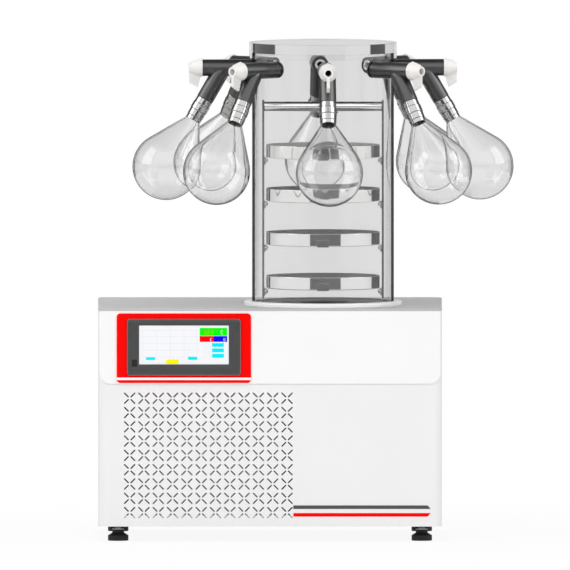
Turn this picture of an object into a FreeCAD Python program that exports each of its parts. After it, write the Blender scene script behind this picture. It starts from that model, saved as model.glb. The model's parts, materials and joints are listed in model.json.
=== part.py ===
import FreeCAD, Part
import math
import os
import re
import Sketcher

# Freeze dryer, millimetres, +Z up, front towards -Y, standing on Z = 0.
# A steel cabinet holds the condensing unit and the cold trap. A clear drum with four
# trays stands over the trap, under a lid, with eight flask valves round its top.
# The drum's axis is at Y = 0, and the cabinet is set so that the whole is centred on X = 0.

doc = FreeCAD.newDocument("freeze_dryer")
sheet = doc.addObject("Spreadsheet::Sheet", "dims")

SIZES = {
    # cabinet
    "cab_width": 615,
    "cab_depth": 450,
    "cab_base": 26.5,
    "cab_top": 417,
    "sheet_thick": 1.5,
    "edge_round": 16,
    "cover_thick": 4.5,
    "pan_flange": 20,
    "panel_gap": 0.3,
    # upper front fascia and operator panel, placed from the cabinet's left edge and top
    "fascia_tall": 131,
    "fascia_inset": 1.8,
    "fascia_proud": 4,
    "fascia_round": 20,
    "fascia_edge": 3.5,
    "hmi_left": 33.2,
    "hmi_drop": 8.6,
    "hmi_wide": 240.4,
    "hmi_tall": 124.5,
    "hmi_proud": 2,
    "hmi_round": 6.8,
    "bezel_side": 18.7,
    "bezel_drop": 10,
    "bezel_wide": 203.3,
    "bezel_tall": 100.5,
    "bezel_proud": 5,
    "bezel_depth": 28,
    "bezel_round": 4.3,
    "screen_side": 21.5,
    "screen_drop": 11.5,
    "screen_wide": 160.3,
    "screen_tall": 69.4,
    "screen_sunk": 1,
    "screen_thick": 2,
    "lens_side": 9,
    "lens_rise": 15.5,
    "lens_wide": 9.1,
    "lens_tall": 12.2,
    # air slots in the front, in crosses of four slanted slots
    "vent_left": 56.4,
    "vent_bottom": 25,
    "vent_pitch": 25.6,
    "vent_columns": 12,
    "vent_rows": 9,
    "slot_start": 1.7,
    "slot_end": 9.9,
    "slot_wide": 2.4,
    # two trim stripes, mitred at their right ends
    "stripe_left": 349.3,
    "stripe_long": 245.5,
    "stripe_tall": 6.3,
    "stripe_lower": 17.9,
    "stripe_upper": 31.6,
    "stripe_thick": 0.4,
    # levelling feet
    "foot_inset": 36,
    "foot_dia": 36.7,
    "foot_pad": 9.5,
    "foot_flare": 14.3,
    "foot_bevel": 0.8,
    "foot_neck_dia": 21.5,
    "foot_neck": 21,
    "stud_dia": 12,
    "stud_top": 58,
    "stud_play": 0.3,
    "washer_thick": 2.7,
    "nut_flats": 19,
    "nut_thick": 10,
    # cold trap under the drum
    "pot_lap": 15.5,
    "pot_wall": 1.5,
    "pot_deep": 140,
    "port_arc": 24,
    "flange_gap": 0.75,
    "foam_wall": 16.5,
    "foam_base": 14,
    "foam_gap": 0.3,
    "foam_slot_arc": 16,
    # drum, lid, ring and baffle
    "drum_dia": 253.5,
    "drum_wall": 5,
    "drum_top": 452,
    "ring_margin": 14.25,
    "ring_setback": 15,
    "ring_side": 71.7,
    "ring_tall": 7.6,
    "ring_seat": 4,
    "ring_round": 3,
    "seal_gap": 0.3,
    "lid_margin": 5.25,
    "lid_thick": 28,
    "lid_skirt": 10,
    "lid_round": 1.5,
    "baffle_gap": 2.75,
    "baffle_thick": 3,
    "baffle_bore": 90,
    "baffle_hole": 16,
    "baffle_holes": 12,
    # rack and trays, heights above the baffle
    "rack_room": 13.45,
    "tray_tall": 21.5,
    "tray_wall": 1,
    "tray_round": 3,
    "tray_first": 26.5,
    "tray_pitch": 78.1,
    "tray_tab_wide": 21.5,
    "tray_tab_tall": 13.4,
    "tray_tab_drop": 1.2,
    "tray_tab_thick": 1.5,
    "rack_gap": 2.9,
    "rack_thick": 3.4,
    "rack_wide": 30,
    "handle_above": 89.7,
    "rack_above": 12,
    "handle_dia": 17.7,
    "handle_wall": 1.5,
    "peg_long": 11,
    "peg_tall": 6,
    "peg_wide": 6,
    "peg_spread": 9,
    # flask valves
    "manifold_turn": 2.35,
    "valve_below": 27.5,
    "valve_dia": 30,
    "valve_out": 89.25,
    "valve_lip": 4,
    "spigot_dia": 24,
    "drum_fit": 0.05,
    "plug_dia": 19,
    "plug_bore": 11,
    "plug_fit": 0.1,
    "cap_dia": 32.5,
    "cap_tip_dia": 18,
    "cap_long": 24,
    "cap_gap": 0.2,
    "cap_hole": 11.6,
    "fin_thick": 5.5,
    "cap_draft": 0.8,
    "cap_swell": 1.6,
    "fin_root": 2.5,
    "fin_reach": 35,
    "fin_tip_low": 26.5,
    "fin_tip_high": 8.2,
    "fin_lip": 5,
    "fin_end_gap": 0.6,
    "ridge_tall": 2.1,
    "ridge_start": 1,
    "ridge_end": 3,
    "branch_out": 52.25,
    "branch_tilt": 30,
    "branch_dia": 30.8,
    "branch_long": 65,
    "branch_bore": 22,
    # flask couplings and flasks, along the branch
    "coupling_long": 40,
    "coupling_wall": 1.15,
    "coupling_swell": 2.15,
    "coupling_insert": 20,
    "coupling_fit": 0.05,
    "coupling_bore": 17,
    "bead_swell": 0.9,
    "bead_drop": 0.7,
    "pin_proud": 2.6,
    "neck_dia": 23.6,
    "neck_fit": 0.4,
    "neck_in": 23,
    "flask_radius": 60,
    "flask_centre": 204,
    "flask_cone": 30,
    "flask_wall": 2,
    # condensing unit
    "cond_left": 71.5,
    "cond_wide": 254,
    "cond_low": 14.5,
    "cond_tall": 213,
    "cond_front": 20,
    "cond_deep": 48,
    "fin_pitch": 8,
    "fin_gap": 6,
    "fin_slot": 12,
    "shroud_deep": 26,
    "shroud_edge": 3.5,
    "shroud_wall": 1.5,
    "fan_tip_gap": 5,
    "fan_hub": 54,
    "fan_blades": 5,
    "fan_deep": 18,
    "fan_gap": 4,
    "blade_root": 3,
    "blade_edge": 1,
    "blade_chord": 3,
    "motor_dia": 70,
    "motor_long": 46,
    "shaft_dia": 8,
    "shaft_fit": 0.05,
    "comp_dia": 150,
    "comp_tall": 196,
    "comp_round": 42,
    "comp_ear": 10,
    "comp_skirt": 4,
    "ear_round": 12,
    "ear_thick": 4,
    "case_half": 26,
    "case_round": 4,
    "case_deep": 30,
    "case_sunk": 12,
    "stub_wide": 4.8,
    "stub_thin": 3.2,
    "stub_long": 22,
    "comp_left": 140,
    "comp_back": 115,
    # rear services, from the cabinet's underside
    "port_dia": 25.4,
    "port_bore": 21.4,
    "port_high": 298,
    "port_flange": 40,
    "port_lip": 3,
    "port_out": 34,
    "drain_dia": 12,
    "drain_bore": 8,
    "drain_high": 205,
    "drain_out": 36,
    "ball_dia": 24,
    "lever_long": 42,
    "lever_thick": 2.5,
    "power_right": 120,
    "power_high": 90,
    "power_wide": 50,
    "power_tall": 62,
    "power_proud": 3,
    "power_deep": 34,
    "rocker_wide": 26,
    "rocker_tall": 17,
    "rocker_gap": 0.3,
    "rocker_pin": 2.4,
    "rocker_throw": 14,
    "inlet_wide": 24,
    "inlet_tall": 17,
    "inlet_deep": 18,
    "pin_across": 7,
    "pin_low": 2,
    "pin_high": 2.5,
    "pin_half_wide": 1,
    "pin_half_tall": 2,
    "pin_short": 3,
    "grille_pitch": 12,
    "grille_rows": 12,
    "grille_wide": 210,
    "grille_slot": 4,
}

for row, (alias, value) in enumerate(SIZES.items(), start=1):
    sheet.set(f"A{row}", alias)
    sheet.set(f"B{row}", str(value))
    sheet.setAlias(f"B{row}", alias)
doc.recompute()


def linked(formula):
    """A formula in the sheet's aliases, with each alias pointed at the sheet."""
    return re.sub(r"[a-z]+_[a-z_]+", lambda found: f"dims.{found.group(0)}", formula)


def size(formula):
    """The present value of a formula in the sheet's aliases."""
    return float(sheet.evalExpression(linked(formula)))


def bind(item, **formulas):
    """Bind properties of an object to formulas in the sheet's aliases."""
    for name, formula in formulas.items():
        item.setExpression(name, linked(formula))


def place(item, x="0", y="0", z="0", yaw="0", pitch="0", roll="0"):
    """Bind an object's placement to formulas."""
    where = f"vector({linked(x)}; {linked(y)}; {linked(z)})"
    turn = f"rotation({linked(yaw)}; {linked(pitch)}; {linked(roll)})"
    item.setExpression("Placement", f"placement({where}; {turn})")


# ---- helpers for bodies and sketches -------------------------------------------------

def new_body(name):
    body = doc.addObject("PartDesign::Body", name)
    body.Label = name
    return body


def sketch_on(body, name, role, offset=None):
    """A sketch on one of the body's own origin planes, moved along its normal by offset."""
    plane = next(item for item in body.Origin.OriginFeatures if item.Role == role)
    sketch = body.newObject("Sketcher::SketchObject", name)
    sketch.AttachmentSupport = [(plane, "")]
    sketch.MapMode = "FlatFace"
    if offset is not None:
        sketch.setExpression("AttachmentOffset.Base.z", linked(offset))
    return sketch


def pin_point(sketch, shape_index, end, x, y):
    """Hold one end of a line at (x, y), both formulas."""
    for kind, formula in (("DistanceX", x), ("DistanceY", y)):
        index = sketch.addConstraint(
            Sketcher.Constraint(kind, -1, 1, shape_index, end, size(formula))
        )
        sketch.setExpression(f"Constraints[{index}]", linked(formula))


def outline(sketch, corners):
    """A closed outline through corners (x, y) or (x, y, radius), all formulas.

    A corner with a radius joins a level side and an upright side with a round.
    """
    count = len(corners)
    spots = [(size(corner[0]), size(corner[1])) for corner in corners]

    def side_end(at, towards):
        """Formulas of the point where the side from corner 'at' to 'towards' begins."""
        corner = corners[at]
        if len(corner) < 3:
            return corner[0], corner[1]
        step_x = spots[towards][0] - spots[at][0]
        step_y = spots[towards][1] - spots[at][1]
        if abs(step_x) > abs(step_y):
            sign = "+" if step_x > 0 else "-"
            return f"({corner[0]}) {sign} ({corner[2]})", corner[1]
        sign = "+" if step_y > 0 else "-"
        return corner[0], f"({corner[1]}) {sign} ({corner[2]})"

    sides = []
    for at in range(count):
        after = (at + 1) % count
        start = side_end(at, after)
        end = side_end(after, at)
        line = Part.LineSegment(
            FreeCAD.Vector(size(start[0]), size(start[1]), 0),
            FreeCAD.Vector(size(end[0]), size(end[1]), 0),
        )
        index = sketch.addGeometry(line, False)
        pin_point(sketch, index, 1, *start)
        sides.append((index, start, end))
    for at in range(count):
        after = (at + 1) % count
        index, start, end = sides[at]
        next_index, next_start, next_end = sides[after]
        if len(corners[after]) < 3:
            sketch.addConstraint(Sketcher.Constraint("Coincident", index, 2, next_index, 1))
            continue
        pin_point(sketch, index, 2, *end)
        radius = size(corners[after][2])
        from_x, from_y = size(end[0]), size(end[1])
        to_x, to_y = size(next_start[0]), size(next_start[1])
        tip_x, tip_y = spots[after]
        middle = FreeCAD.Vector(from_x + to_x - tip_x, from_y + to_y - tip_y, 0)
        first = math.atan2(from_y - middle.y, from_x - middle.x)
        last = math.atan2(to_y - middle.y, to_x - middle.x)
        turns_left = (tip_x - from_x) * (to_y - tip_y) - (tip_y - from_y) * (to_x - tip_x) > 0
        round_shape = Part.Circle(middle, FreeCAD.Vector(0, 0, 1), radius)
        if turns_left:
            arc = sketch.addGeometry(Part.ArcOfCircle(round_shape, first, last), False)
            begin, finish = 1, 2
        else:
            arc = sketch.addGeometry(Part.ArcOfCircle(round_shape, last, first), False)
            begin, finish = 2, 1
        sketch.addConstraint(Sketcher.Constraint("Coincident", index, 2, arc, begin))
        sketch.addConstraint(Sketcher.Constraint("Coincident", arc, finish, next_index, 1))
        held = sketch.addConstraint(Sketcher.Constraint("Radius", arc, radius))
        sketch.setExpression(f"Constraints[{held}]", linked(corners[after][2]))


def box_outline(sketch, left, low, right, high, radius=None):
    """An upright rectangle, its corners rounded if a radius is given."""
    extra = () if radius is None else (radius,)
    outline(
        sketch,
        [(left, low) + extra, (right, low) + extra, (right, high) + extra, (left, high) + extra],
    )


def circle(sketch, x, y, radius):
    where = FreeCAD.Vector(size(x), size(y), 0)
    index = sketch.addGeometry(Part.Circle(where, FreeCAD.Vector(0, 0, 1), size(radius)), False)
    pin_point(sketch, index, 3, x, y)
    held = sketch.addConstraint(Sketcher.Constraint("Radius", index, size(radius)))
    sketch.setExpression(f"Constraints[{held}]", linked(radius))


def pad(body, name, sketch, length, reverse=False, midplane=False):
    feature = body.newObject("PartDesign::Pad", name)
    feature.Profile = sketch
    feature.Reversed = reverse
    feature.Midplane = midplane
    bind(feature, Length=length)
    return feature


def pocket(body, name, sketch, depth=None, reverse=False, midplane=False):
    """Cut a sketch into the body, right through where no depth is given."""
    doc.recompute()
    before = body.Shape.Volume
    feature = body.newObject("PartDesign::Pocket", name)
    feature.Profile = sketch
    feature.Reversed = reverse
    feature.Midplane = midplane
    if depth is None:
        feature.Type = "ThroughAll"
    else:
        bind(feature, Length=depth)
    doc.recompute()
    if not body.Shape.Volume < before:
        raise RuntimeError(f"{name} cuts nothing from {body.Label}")
    return feature


def revolve(body, name, sketch, axis="V_Axis"):
    feature = body.newObject("PartDesign::Revolution", name)
    feature.Profile = sketch
    feature.ReferenceAxis = (sketch, [axis])
    feature.Angle = 360
    return feature


def turned(name, corners, role="XZ_Plane", axis="V_Axis"):
    """A body turned from one outline: about Z, or about X with axis H_Axis."""
    body = new_body(name)
    sketch = sketch_on(body, f"{name}_profile", role)
    outline(sketch, corners)
    revolve(body, f"{name}_turning", sketch, axis)
    return body


def round_edges(body, name, radius, chosen):
    """Fillet the edges of the body's tip that the test 'chosen' picks."""
    doc.recompute()
    tip = body.Tip
    names = [
        f"Edge{number}"
        for number, edge in enumerate(tip.Shape.Edges, start=1)
        if chosen(edge)
    ]
    feature = body.newObject("PartDesign::Fillet", name)
    feature.Base = (tip, names)
    bind(feature, Radius=radius)
    return feature


def origin_axis(body, role):
    return next(item for item in body.Origin.OriginFeatures if item.Role == role)


def circular_pattern(body, name, feature, count, role="Z_Axis"):
    pattern = body.newObject("PartDesign::PolarPattern", name)
    pattern.Originals = [feature]
    pattern.Axis = (origin_axis(body, role), [""])
    pattern.Angle = 360
    bind(pattern, Occurrences=count)
    body.Tip = pattern
    return pattern


def row_pattern(body, name, feature, role, pitch, count):
    pattern = body.newObject("PartDesign::LinearPattern", name)
    pattern.Originals = [feature]
    pattern.Direction = (origin_axis(body, role), [""])
    bind(pattern, Length=f"({pitch}) * (({count}) - 1)", Occurrences=count)
    body.Tip = pattern
    return pattern


def cylinder(name, radius, height, **where):
    item = doc.addObject("Part::Cylinder", name)
    bind(item, Radius=radius, Height=height)
    place(item, **where)
    return item


def block(name, length, width, height, **where):
    item = doc.addObject("Part::Box", name)
    bind(item, Length=length, Width=width, Height=height)
    place(item, **where)
    return item


def joined(name, shapes):
    item = doc.addObject("Part::MultiFuse", name)
    item.Shapes = shapes
    item.Refine = True
    return item


def cut_from(name, base, tool):
    item = doc.addObject("Part::Cut", name)
    item.Base = base
    item.Tool = tool
    item.Refine = True
    return item


# ---- places worked out from the sizes ------------------------------------------------

RING_RADIUS = "(drum_dia / 2 + ring_margin)"
OFFSET_X = f"(cab_width / 2 - ring_side - {RING_RADIUS})"
CAB_Y = f"(cab_depth / 2 - ring_setback - {RING_RADIUS})"
BRANCH_X = "(drum_dia / 2 + branch_out)"
VALVE_END = "(drum_dia / 2 + valve_out)"
FLASK_REACH = f"({BRANCH_X} + flask_centre * sin(branch_tilt * 1 deg))"
FLASK_SPAN = f"({FLASK_REACH} * cos(manifold_turn * 1 deg) + flask_radius)"
DRUM_X = f"(cab_width / 2 + {OFFSET_X} - {FLASK_SPAN}) / 2"
CAB_X = f"({DRUM_X}) - {OFFSET_X}"
LEFT = f"({CAB_X}) - cab_width / 2"
FRONT = f"({CAB_Y}) - cab_depth / 2"
BACK = f"({CAB_Y}) + cab_depth / 2"
COVER_LOW = "cab_top - cover_thick"
BAFFLE_TOP = "cab_top + pot_wall + baffle_thick"
VALVE_Z = "cab_top + drum_top - valve_below"
DRUM_OUT = "drum_dia / 2"
DRUM_IN = "drum_dia / 2 - drum_wall"
FLANGE_OUT = "(drum_dia / 2 - drum_wall - flange_gap)"
POT_OUT = f"({FLANGE_OUT} - pot_lap)"
POT_FLOOR = "(cab_top - pot_deep)"
POT_IN = f"({POT_OUT} - pot_wall)"
TRAY_OUT = "(drum_dia / 2 - drum_wall - rack_room - rack_thick - rack_gap)"
TRAY_COUNT = 4
VALVE_COUNT = 8
VALVE_STEP = 360 / VALVE_COUNT
made = []


def keep(*items):
    made.extend(items)


# ---- cabinet -------------------------------------------------------------------------

# Operator panel's places across the front, from the cabinet's left edge
HMI_LEFT = f"({LEFT}) + hmi_left"
HMI_TOP = "cab_top - hmi_drop"
BEZEL_LEFT = f"({HMI_LEFT}) + bezel_side"
BEZEL_TOP = f"({HMI_TOP}) - bezel_drop"
FASCIA_FACE = f"({FRONT}) - fascia_proud"
HMI_FACE = f"({FASCIA_FACE}) - hmi_proud"
BEZEL_FACE = f"({HMI_FACE}) - bezel_proud"


def slanted_slot(middle_x, middle_z, across, up):
    """Wire of one slot that runs outward at 45 degrees into the quarter (across, up)."""
    half = size("slot_wide") / 2
    along = FreeCAD.Vector(across, 0, up).normalize()
    side = FreeCAD.Vector(-up, 0, across).normalize() * half
    middle = FreeCAD.Vector(middle_x, 0, middle_z)
    start = middle + FreeCAD.Vector(across, 0, up) * size("slot_start") + along * half
    end = middle + FreeCAD.Vector(across, 0, up) * size("slot_end") - along * half
    return Part.Wire(
        [
            Part.makeLine(start + side, end + side),
            Part.Arc(end + side, end + along * half, end - side).toShape(),
            Part.makeLine(end - side, start - side),
            Part.Arc(start - side, start - along * half, start + side).toShape(),
        ]
    )


def make_wrap_panel():
    """Front and both sides, bent from one sheet, with the air slots punched in the front.

    The hundreds of slots are drawn as holes of one flat face, so the sheet's front is
    made in code from the sheet's sizes, and not with a pattern of pockets.
    """
    left, front, back = size(LEFT), size(FRONT), size(BACK)
    right = left + size("cab_width")
    low, high = size("cab_base"), size(COVER_LOW)
    thick, bend = size("sheet_thick"), size("edge_round")

    corners = [
        FreeCAD.Vector(left + bend, 0, low),
        FreeCAD.Vector(right - bend, 0, low),
        FreeCAD.Vector(right - bend, 0, high),
        FreeCAD.Vector(left + bend, 0, high),
    ]
    face = Part.Face(Part.makePolygon(corners + corners[:1]))
    pitch = size("vent_pitch")
    slots = []
    for column in range(int(size("vent_columns"))):
        for row in range(int(size("vent_rows"))):
            middle_x = left + size("vent_left") + column * pitch
            middle_z = low + size("vent_bottom") + row * pitch
            for across, up in ((1, 1), (1, -1), (-1, -1), (-1, 1)):
                slots.append(slanted_slot(middle_x, middle_z, across, up))
    panel_low = size(f"({BEZEL_TOP}) - bezel_tall - panel_gap")
    panel_high = size(f"({BEZEL_TOP}) + panel_gap")
    panel_left = size(f"({BEZEL_LEFT}) - panel_gap")
    panel_right = size(f"({BEZEL_LEFT}) + bezel_wide + panel_gap")
    opening = [
        FreeCAD.Vector(panel_left, 0, panel_low),
        FreeCAD.Vector(panel_right, 0, panel_low),
        FreeCAD.Vector(panel_right, 0, panel_high),
        FreeCAD.Vector(panel_left, 0, panel_high),
    ]
    slots.append(Part.makePolygon(opening + opening[:1]))
    punched = Part.Face([face.OuterWire] + slots)
    punched.validate()
    punched.translate(FreeCAD.Vector(0, front, 0))
    front_wall = punched.extrude(FreeCAD.Vector(0, thick, 0))

    side_walls = []
    for hand, edge_x in ((1, left), (-1, right)):
        turn_x = edge_x + hand * bend
        slant = math.sqrt(0.5)
        outer_mid = FreeCAD.Vector(turn_x - hand * bend * slant, front + bend * (1 - slant), low)
        inner = bend - thick
        inner_mid = FreeCAD.Vector(turn_x - hand * inner * slant, front + bend - inner * slant, low)
        wire = Part.Wire(
            [
                Part.makeLine((turn_x, front, low), (turn_x, front + thick, low)),
                Part.Arc(
                    FreeCAD.Vector(turn_x, front + thick, low),
                    inner_mid,
                    FreeCAD.Vector(edge_x + hand * thick, front + bend, low),
                ).toShape(),
                Part.makeLine(
                    (edge_x + hand * thick, front + bend, low), (edge_x + hand * thick, back, low)
                ),
                Part.makeLine((edge_x + hand * thick, back, low), (edge_x, back, low)),
                Part.makeLine((edge_x, back, low), (edge_x, front + bend, low)),
                Part.Arc(
                    FreeCAD.Vector(edge_x, front + bend, low),
                    outer_mid,
                    FreeCAD.Vector(turn_x, front, low),
                ).toShape(),
            ]
        )
        side_walls.append(Part.Face(wire).extrude(FreeCAD.Vector(0, 0, high - low)))

    item = doc.addObject("Part::Feature", "wrap_panel")
    item.Shape = front_wall.fuse(side_walls).removeSplitter().Solids[0]
    item.Placement = FreeCAD.Placement()
    return item


def make_base_pan():
    """Folded tray that carries everything in the cabinet; the feet screw into it."""
    body = new_body("base_pan")
    floor_sketch = sketch_on(body, "base_pan_floor", "XY_Plane", "cab_base")
    edge = "(sheet_thick + panel_gap)"
    left, right = f"({LEFT}) + {edge}", f"({LEFT}) + cab_width - {edge}"
    front, back = f"({FRONT}) + {edge}", f"({BACK}) - sheet_thick - {edge}"
    box_outline(floor_sketch, left, front, right, back, "edge_round - sheet_thick - panel_gap")
    pad(body, "base_pan_blank", floor_sketch, "pan_flange")
    hollow = sketch_on(body, "base_pan_hollow", "XY_Plane", "cab_base + pan_flange")
    box_outline(
        hollow,
        f"({left}) + sheet_thick",
        f"({front}) + sheet_thick",
        f"({right}) - sheet_thick",
        f"({back}) - sheet_thick",
        "edge_round - 2 * sheet_thick - panel_gap",
    )
    pocket(body, "base_pan_folding", hollow, "pan_flange - sheet_thick")
    holes = sketch_on(body, "base_pan_holes", "XY_Plane", "cab_base + pan_flange")
    for x, y in FOOT_PLACES:
        circle(holes, x, y, "stud_dia / 2 + stud_play")
    pocket(body, "base_pan_piercing", holes)
    return body


FOOT_PLACES = [
    (f"({LEFT}) + foot_inset", f"({FRONT}) + foot_inset"),
    (f"({LEFT}) + cab_width - foot_inset", f"({FRONT}) + foot_inset"),
    (f"({LEFT}) + foot_inset", f"({BACK}) - foot_inset"),
    (f"({LEFT}) + cab_width - foot_inset", f"({BACK}) - foot_inset"),
]


def make_rear_panel():
    """Flat panel between the sides, with the fan's grille and the service holes."""
    body = new_body("rear_panel")
    wall = sketch_on(body, "rear_panel_wall", "XZ_Plane", f"-(({BACK}) - sheet_thick)")
    left, right = f"({LEFT}) + sheet_thick + panel_gap", f"({LEFT}) + cab_width - sheet_thick - panel_gap"
    box_outline(wall, left, "cab_base + panel_gap", right, f"({COVER_LOW}) - panel_gap")
    pad(body, "rear_panel_sheet", wall, "sheet_thick", reverse=True)
    holes = sketch_on(body, "rear_panel_holes", "XZ_Plane", f"-(({BACK}) - sheet_thick)")
    circle(holes, DRUM_X, "cab_base + port_high", "port_dia / 2 + panel_gap")
    circle(holes, DRUM_X, "cab_base + drain_high", "drain_dia / 2 + panel_gap")
    box_outline(
        holes,
        f"({POWER_X}) - power_wide / 2 + power_proud - panel_gap",
        f"({POWER_Z}) - power_tall / 2 + power_proud - panel_gap",
        f"({POWER_X}) + power_wide / 2 - power_proud + panel_gap",
        f"({POWER_Z}) + power_tall / 2 - power_proud + panel_gap",
    )
    pocket(body, "rear_panel_services", holes, midplane=True)
    slot = sketch_on(body, "rear_panel_slot", "XZ_Plane", f"-(({BACK}) - sheet_thick)")
    slot_low = "cab_base + grille_pitch * 5"
    box_outline(
        slot,
        f"({FAN_X}) - grille_wide / 2",
        slot_low,
        f"({FAN_X}) + grille_wide / 2",
        f"({slot_low}) + grille_slot",
        "grille_slot * 0.45",
    )
    first = pocket(body, "rear_panel_louvre", slot, midplane=True)
    row_pattern(body, "rear_panel_grille", first, "Z_Axis", "grille_pitch", "grille_rows")
    return body


POWER_X = f"({LEFT}) + cab_width - power_right"
POWER_Z = "cab_base + power_high"
FAN_X = f"({LEFT}) + cond_left + cond_wide / 2"
FAN_Z = "cab_base + cond_low + cond_tall / 2"
SHROUD_IN = "(cond_tall / 2 - shroud_edge)"


def make_top_cover():
    """Grey cover plate with a round opening for the cold trap."""
    body = new_body("top_cover")
    plate = sketch_on(body, "top_cover_plate", "XY_Plane", COVER_LOW)
    box_outline(
        plate,
        LEFT,
        FRONT,
        f"({LEFT}) + cab_width",
        BACK,
        "edge_round",
    )
    pad(body, "top_cover_sheet", plate, "cover_thick")
    hole = sketch_on(body, "top_cover_hole", "XY_Plane", "cab_top")
    circle(hole, DRUM_X, "0", f"{POT_OUT} + foam_gap")
    pocket(body, "top_cover_opening", hole)
    top = size("cab_top")
    round_edges(
        body,
        "top_cover_rounding",
        "cover_thick / 3",
        lambda edge: all(abs(point.Point.z - top) < 0.01 for point in edge.Vertexes)
        and edge.BoundBox.XLength + edge.BoundBox.YLength > 0
        and abs(edge.CenterOfMass.x - size(DRUM_X)) + abs(edge.CenterOfMass.y) > 10,
    )
    return body


def make_fascia():
    """Moulded upper front with a window; its ends reach back round the bent edges."""
    body = new_body("fascia")
    front = sketch_on(body, "fascia_front", "XZ_Plane", f"-({FASCIA_FACE})")
    low = f"({COVER_LOW}) - panel_gap - fascia_tall"
    high = f"({COVER_LOW}) - panel_gap"
    left, right = f"({LEFT}) + fascia_inset", f"({LEFT}) + cab_width - fascia_inset"
    outline(
        front,
        [(left, low, "fascia_round"), (right, low, "fascia_round"), (right, high), (left, high)],
    )
    pad(body, "fascia_blank", front, "fascia_proud + edge_round / 2", reverse=True)
    face, top = size(FASCIA_FACE), size(high)
    round_edges(
        body,
        "fascia_rounding",
        "fascia_edge",
        lambda edge: all(abs(point.Point.y - face) < 0.01 for point in edge.Vertexes)
        and not all(abs(point.Point.z - top) < 0.01 for point in edge.Vertexes),
    )
    inside = sketch_on(body, "fascia_inside", "XY_Plane", COVER_LOW)
    box_outline(
        inside,
        f"({LEFT}) - panel_gap",
        f"({FRONT}) - panel_gap",
        f"({LEFT}) + cab_width + panel_gap",
        f"({FRONT}) + 3 * edge_round",
        "edge_round + panel_gap",
    )
    pocket(body, "fascia_seat", inside)
    window = sketch_on(body, "fascia_window", "XZ_Plane", f"-({FRONT})")
    box_outline(window, *bezel_frame("panel_gap"), "bezel_round + panel_gap")
    pocket(body, "fascia_opening", window, midplane=True)
    return body


def bezel_frame(gap):
    """Left, low, right and high sides of the operator panel's bezel, moved out by a gap."""
    return (
        f"({BEZEL_LEFT}) - {gap}",
        f"({BEZEL_TOP}) - bezel_tall - {gap}",
        f"({BEZEL_LEFT}) + bezel_wide + {gap}",
        f"({BEZEL_TOP}) + {gap}",
    )


def make_hmi_surround():
    """Red trim plate round the operator panel."""
    body = new_body("hmi_surround")
    plate = sketch_on(body, "hmi_surround_plate", "XZ_Plane", f"-({HMI_FACE})")
    box_outline(
        plate,
        HMI_LEFT,
        f"({HMI_TOP}) - hmi_tall",
        f"({HMI_LEFT}) + hmi_wide",
        HMI_TOP,
        "hmi_round",
    )
    box_outline(plate, *bezel_frame("panel_gap"), "bezel_round + panel_gap")
    pad(body, "hmi_surround_sheet", plate, "hmi_proud", reverse=True)
    return body


def screen_frame(gap):
    """Left, low, right and high sides of the screen, moved out by a gap."""
    left = f"({BEZEL_LEFT}) + screen_side"
    top = f"({BEZEL_TOP}) - screen_drop"
    return (
        f"({left}) - {gap}",
        f"({top}) - screen_tall - {gap}",
        f"({left}) + screen_wide + {gap}",
        f"({top}) + {gap}",
    )


def make_hmi_bezel():
    """Housing of the operator panel, through the fascia and the sheet behind it."""
    body = new_body("hmi_bezel")
    front = sketch_on(body, "hmi_bezel_front", "XZ_Plane", f"-({BEZEL_FACE})")
    box_outline(front, *bezel_frame("0"), "bezel_round")
    pad(body, "hmi_bezel_block", front, "bezel_depth", reverse=True)
    face = size(BEZEL_FACE)
    round_edges(
        body,
        "hmi_bezel_rounding",
        "bezel_proud * 0.6",
        lambda edge: all(abs(point.Point.y - face) < 0.01 for point in edge.Vertexes),
    )
    recess = sketch_on(body, "hmi_bezel_recess", "XZ_Plane", f"-({BEZEL_FACE})")
    box_outline(recess, *screen_frame("panel_gap / 2"))
    pocket(body, "hmi_bezel_seat", recess, "screen_sunk + screen_thick")
    lens = sketch_on(body, "hmi_bezel_lens", "XZ_Plane", f"-({BEZEL_FACE})")
    lens_left = f"({BEZEL_LEFT}) + lens_side"
    lens_low = f"({BEZEL_TOP}) - bezel_tall + lens_rise"
    box_outline(
        lens,
        lens_left,
        lens_low,
        f"({lens_left}) + lens_wide",
        f"({lens_low}) + lens_tall",
        "lens_wide * 0.15",
    )
    pocket(body, "hmi_bezel_window", lens, "screen_sunk")
    return body


def make_hmi_screen():
    body = new_body("hmi_screen")
    glass = sketch_on(body, "hmi_screen_glass", "XZ_Plane", f"-(({BEZEL_FACE}) + screen_sunk)")
    box_outline(glass, *screen_frame("0"))
    pad(body, "hmi_screen_sheet", glass, "screen_thick", reverse=True)
    return body


def make_stripe(name, rise, upper):
    """Trim stripe; its right end is mitred so that the pair makes an arrow head."""
    body = new_body(name)
    shape = sketch_on(body, f"{name}_shape", "XZ_Plane", f"-(({FRONT}) - stripe_thick)")
    left = f"({LEFT}) + stripe_left"
    low = f"cab_base + {rise}"
    high = f"{low} + stripe_tall"
    right_long = f"({left}) + stripe_long"
    right_short = f"{right_long} - stripe_tall * 0.8"
    if upper:
        corners = [(left, low), (right_long, low), (right_short, high), (left, high)]
    else:
        corners = [(left, low), (right_short, low), (right_long, high), (left, high)]
    outline(shape, corners)
    pad(body, f"{name}_film", shape, "stripe_thick", reverse=True)
    return body


# ---- feet ----------------------------------------------------------------------------

def make_foot(number, x, y):
    """Levelling foot: moulded pad on a threaded stud, turned as one outline."""
    name = f"foot_{number}"
    pad_radius, neck, stud = "foot_dia / 2", "foot_neck_dia / 2", "stud_dia / 2"
    body = turned(
        name,
        [
            ("0", "0"),
            (f"{pad_radius} - foot_bevel", "0"),
            (pad_radius, "foot_bevel"),
            (pad_radius, "foot_pad"),
            (neck, "foot_flare"),
            (neck, "foot_neck"),
            (stud, "foot_neck"),
            (stud, "stud_top"),
            ("0", "stud_top"),
        ],
    )
    place(body, x, y)
    return body


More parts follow.
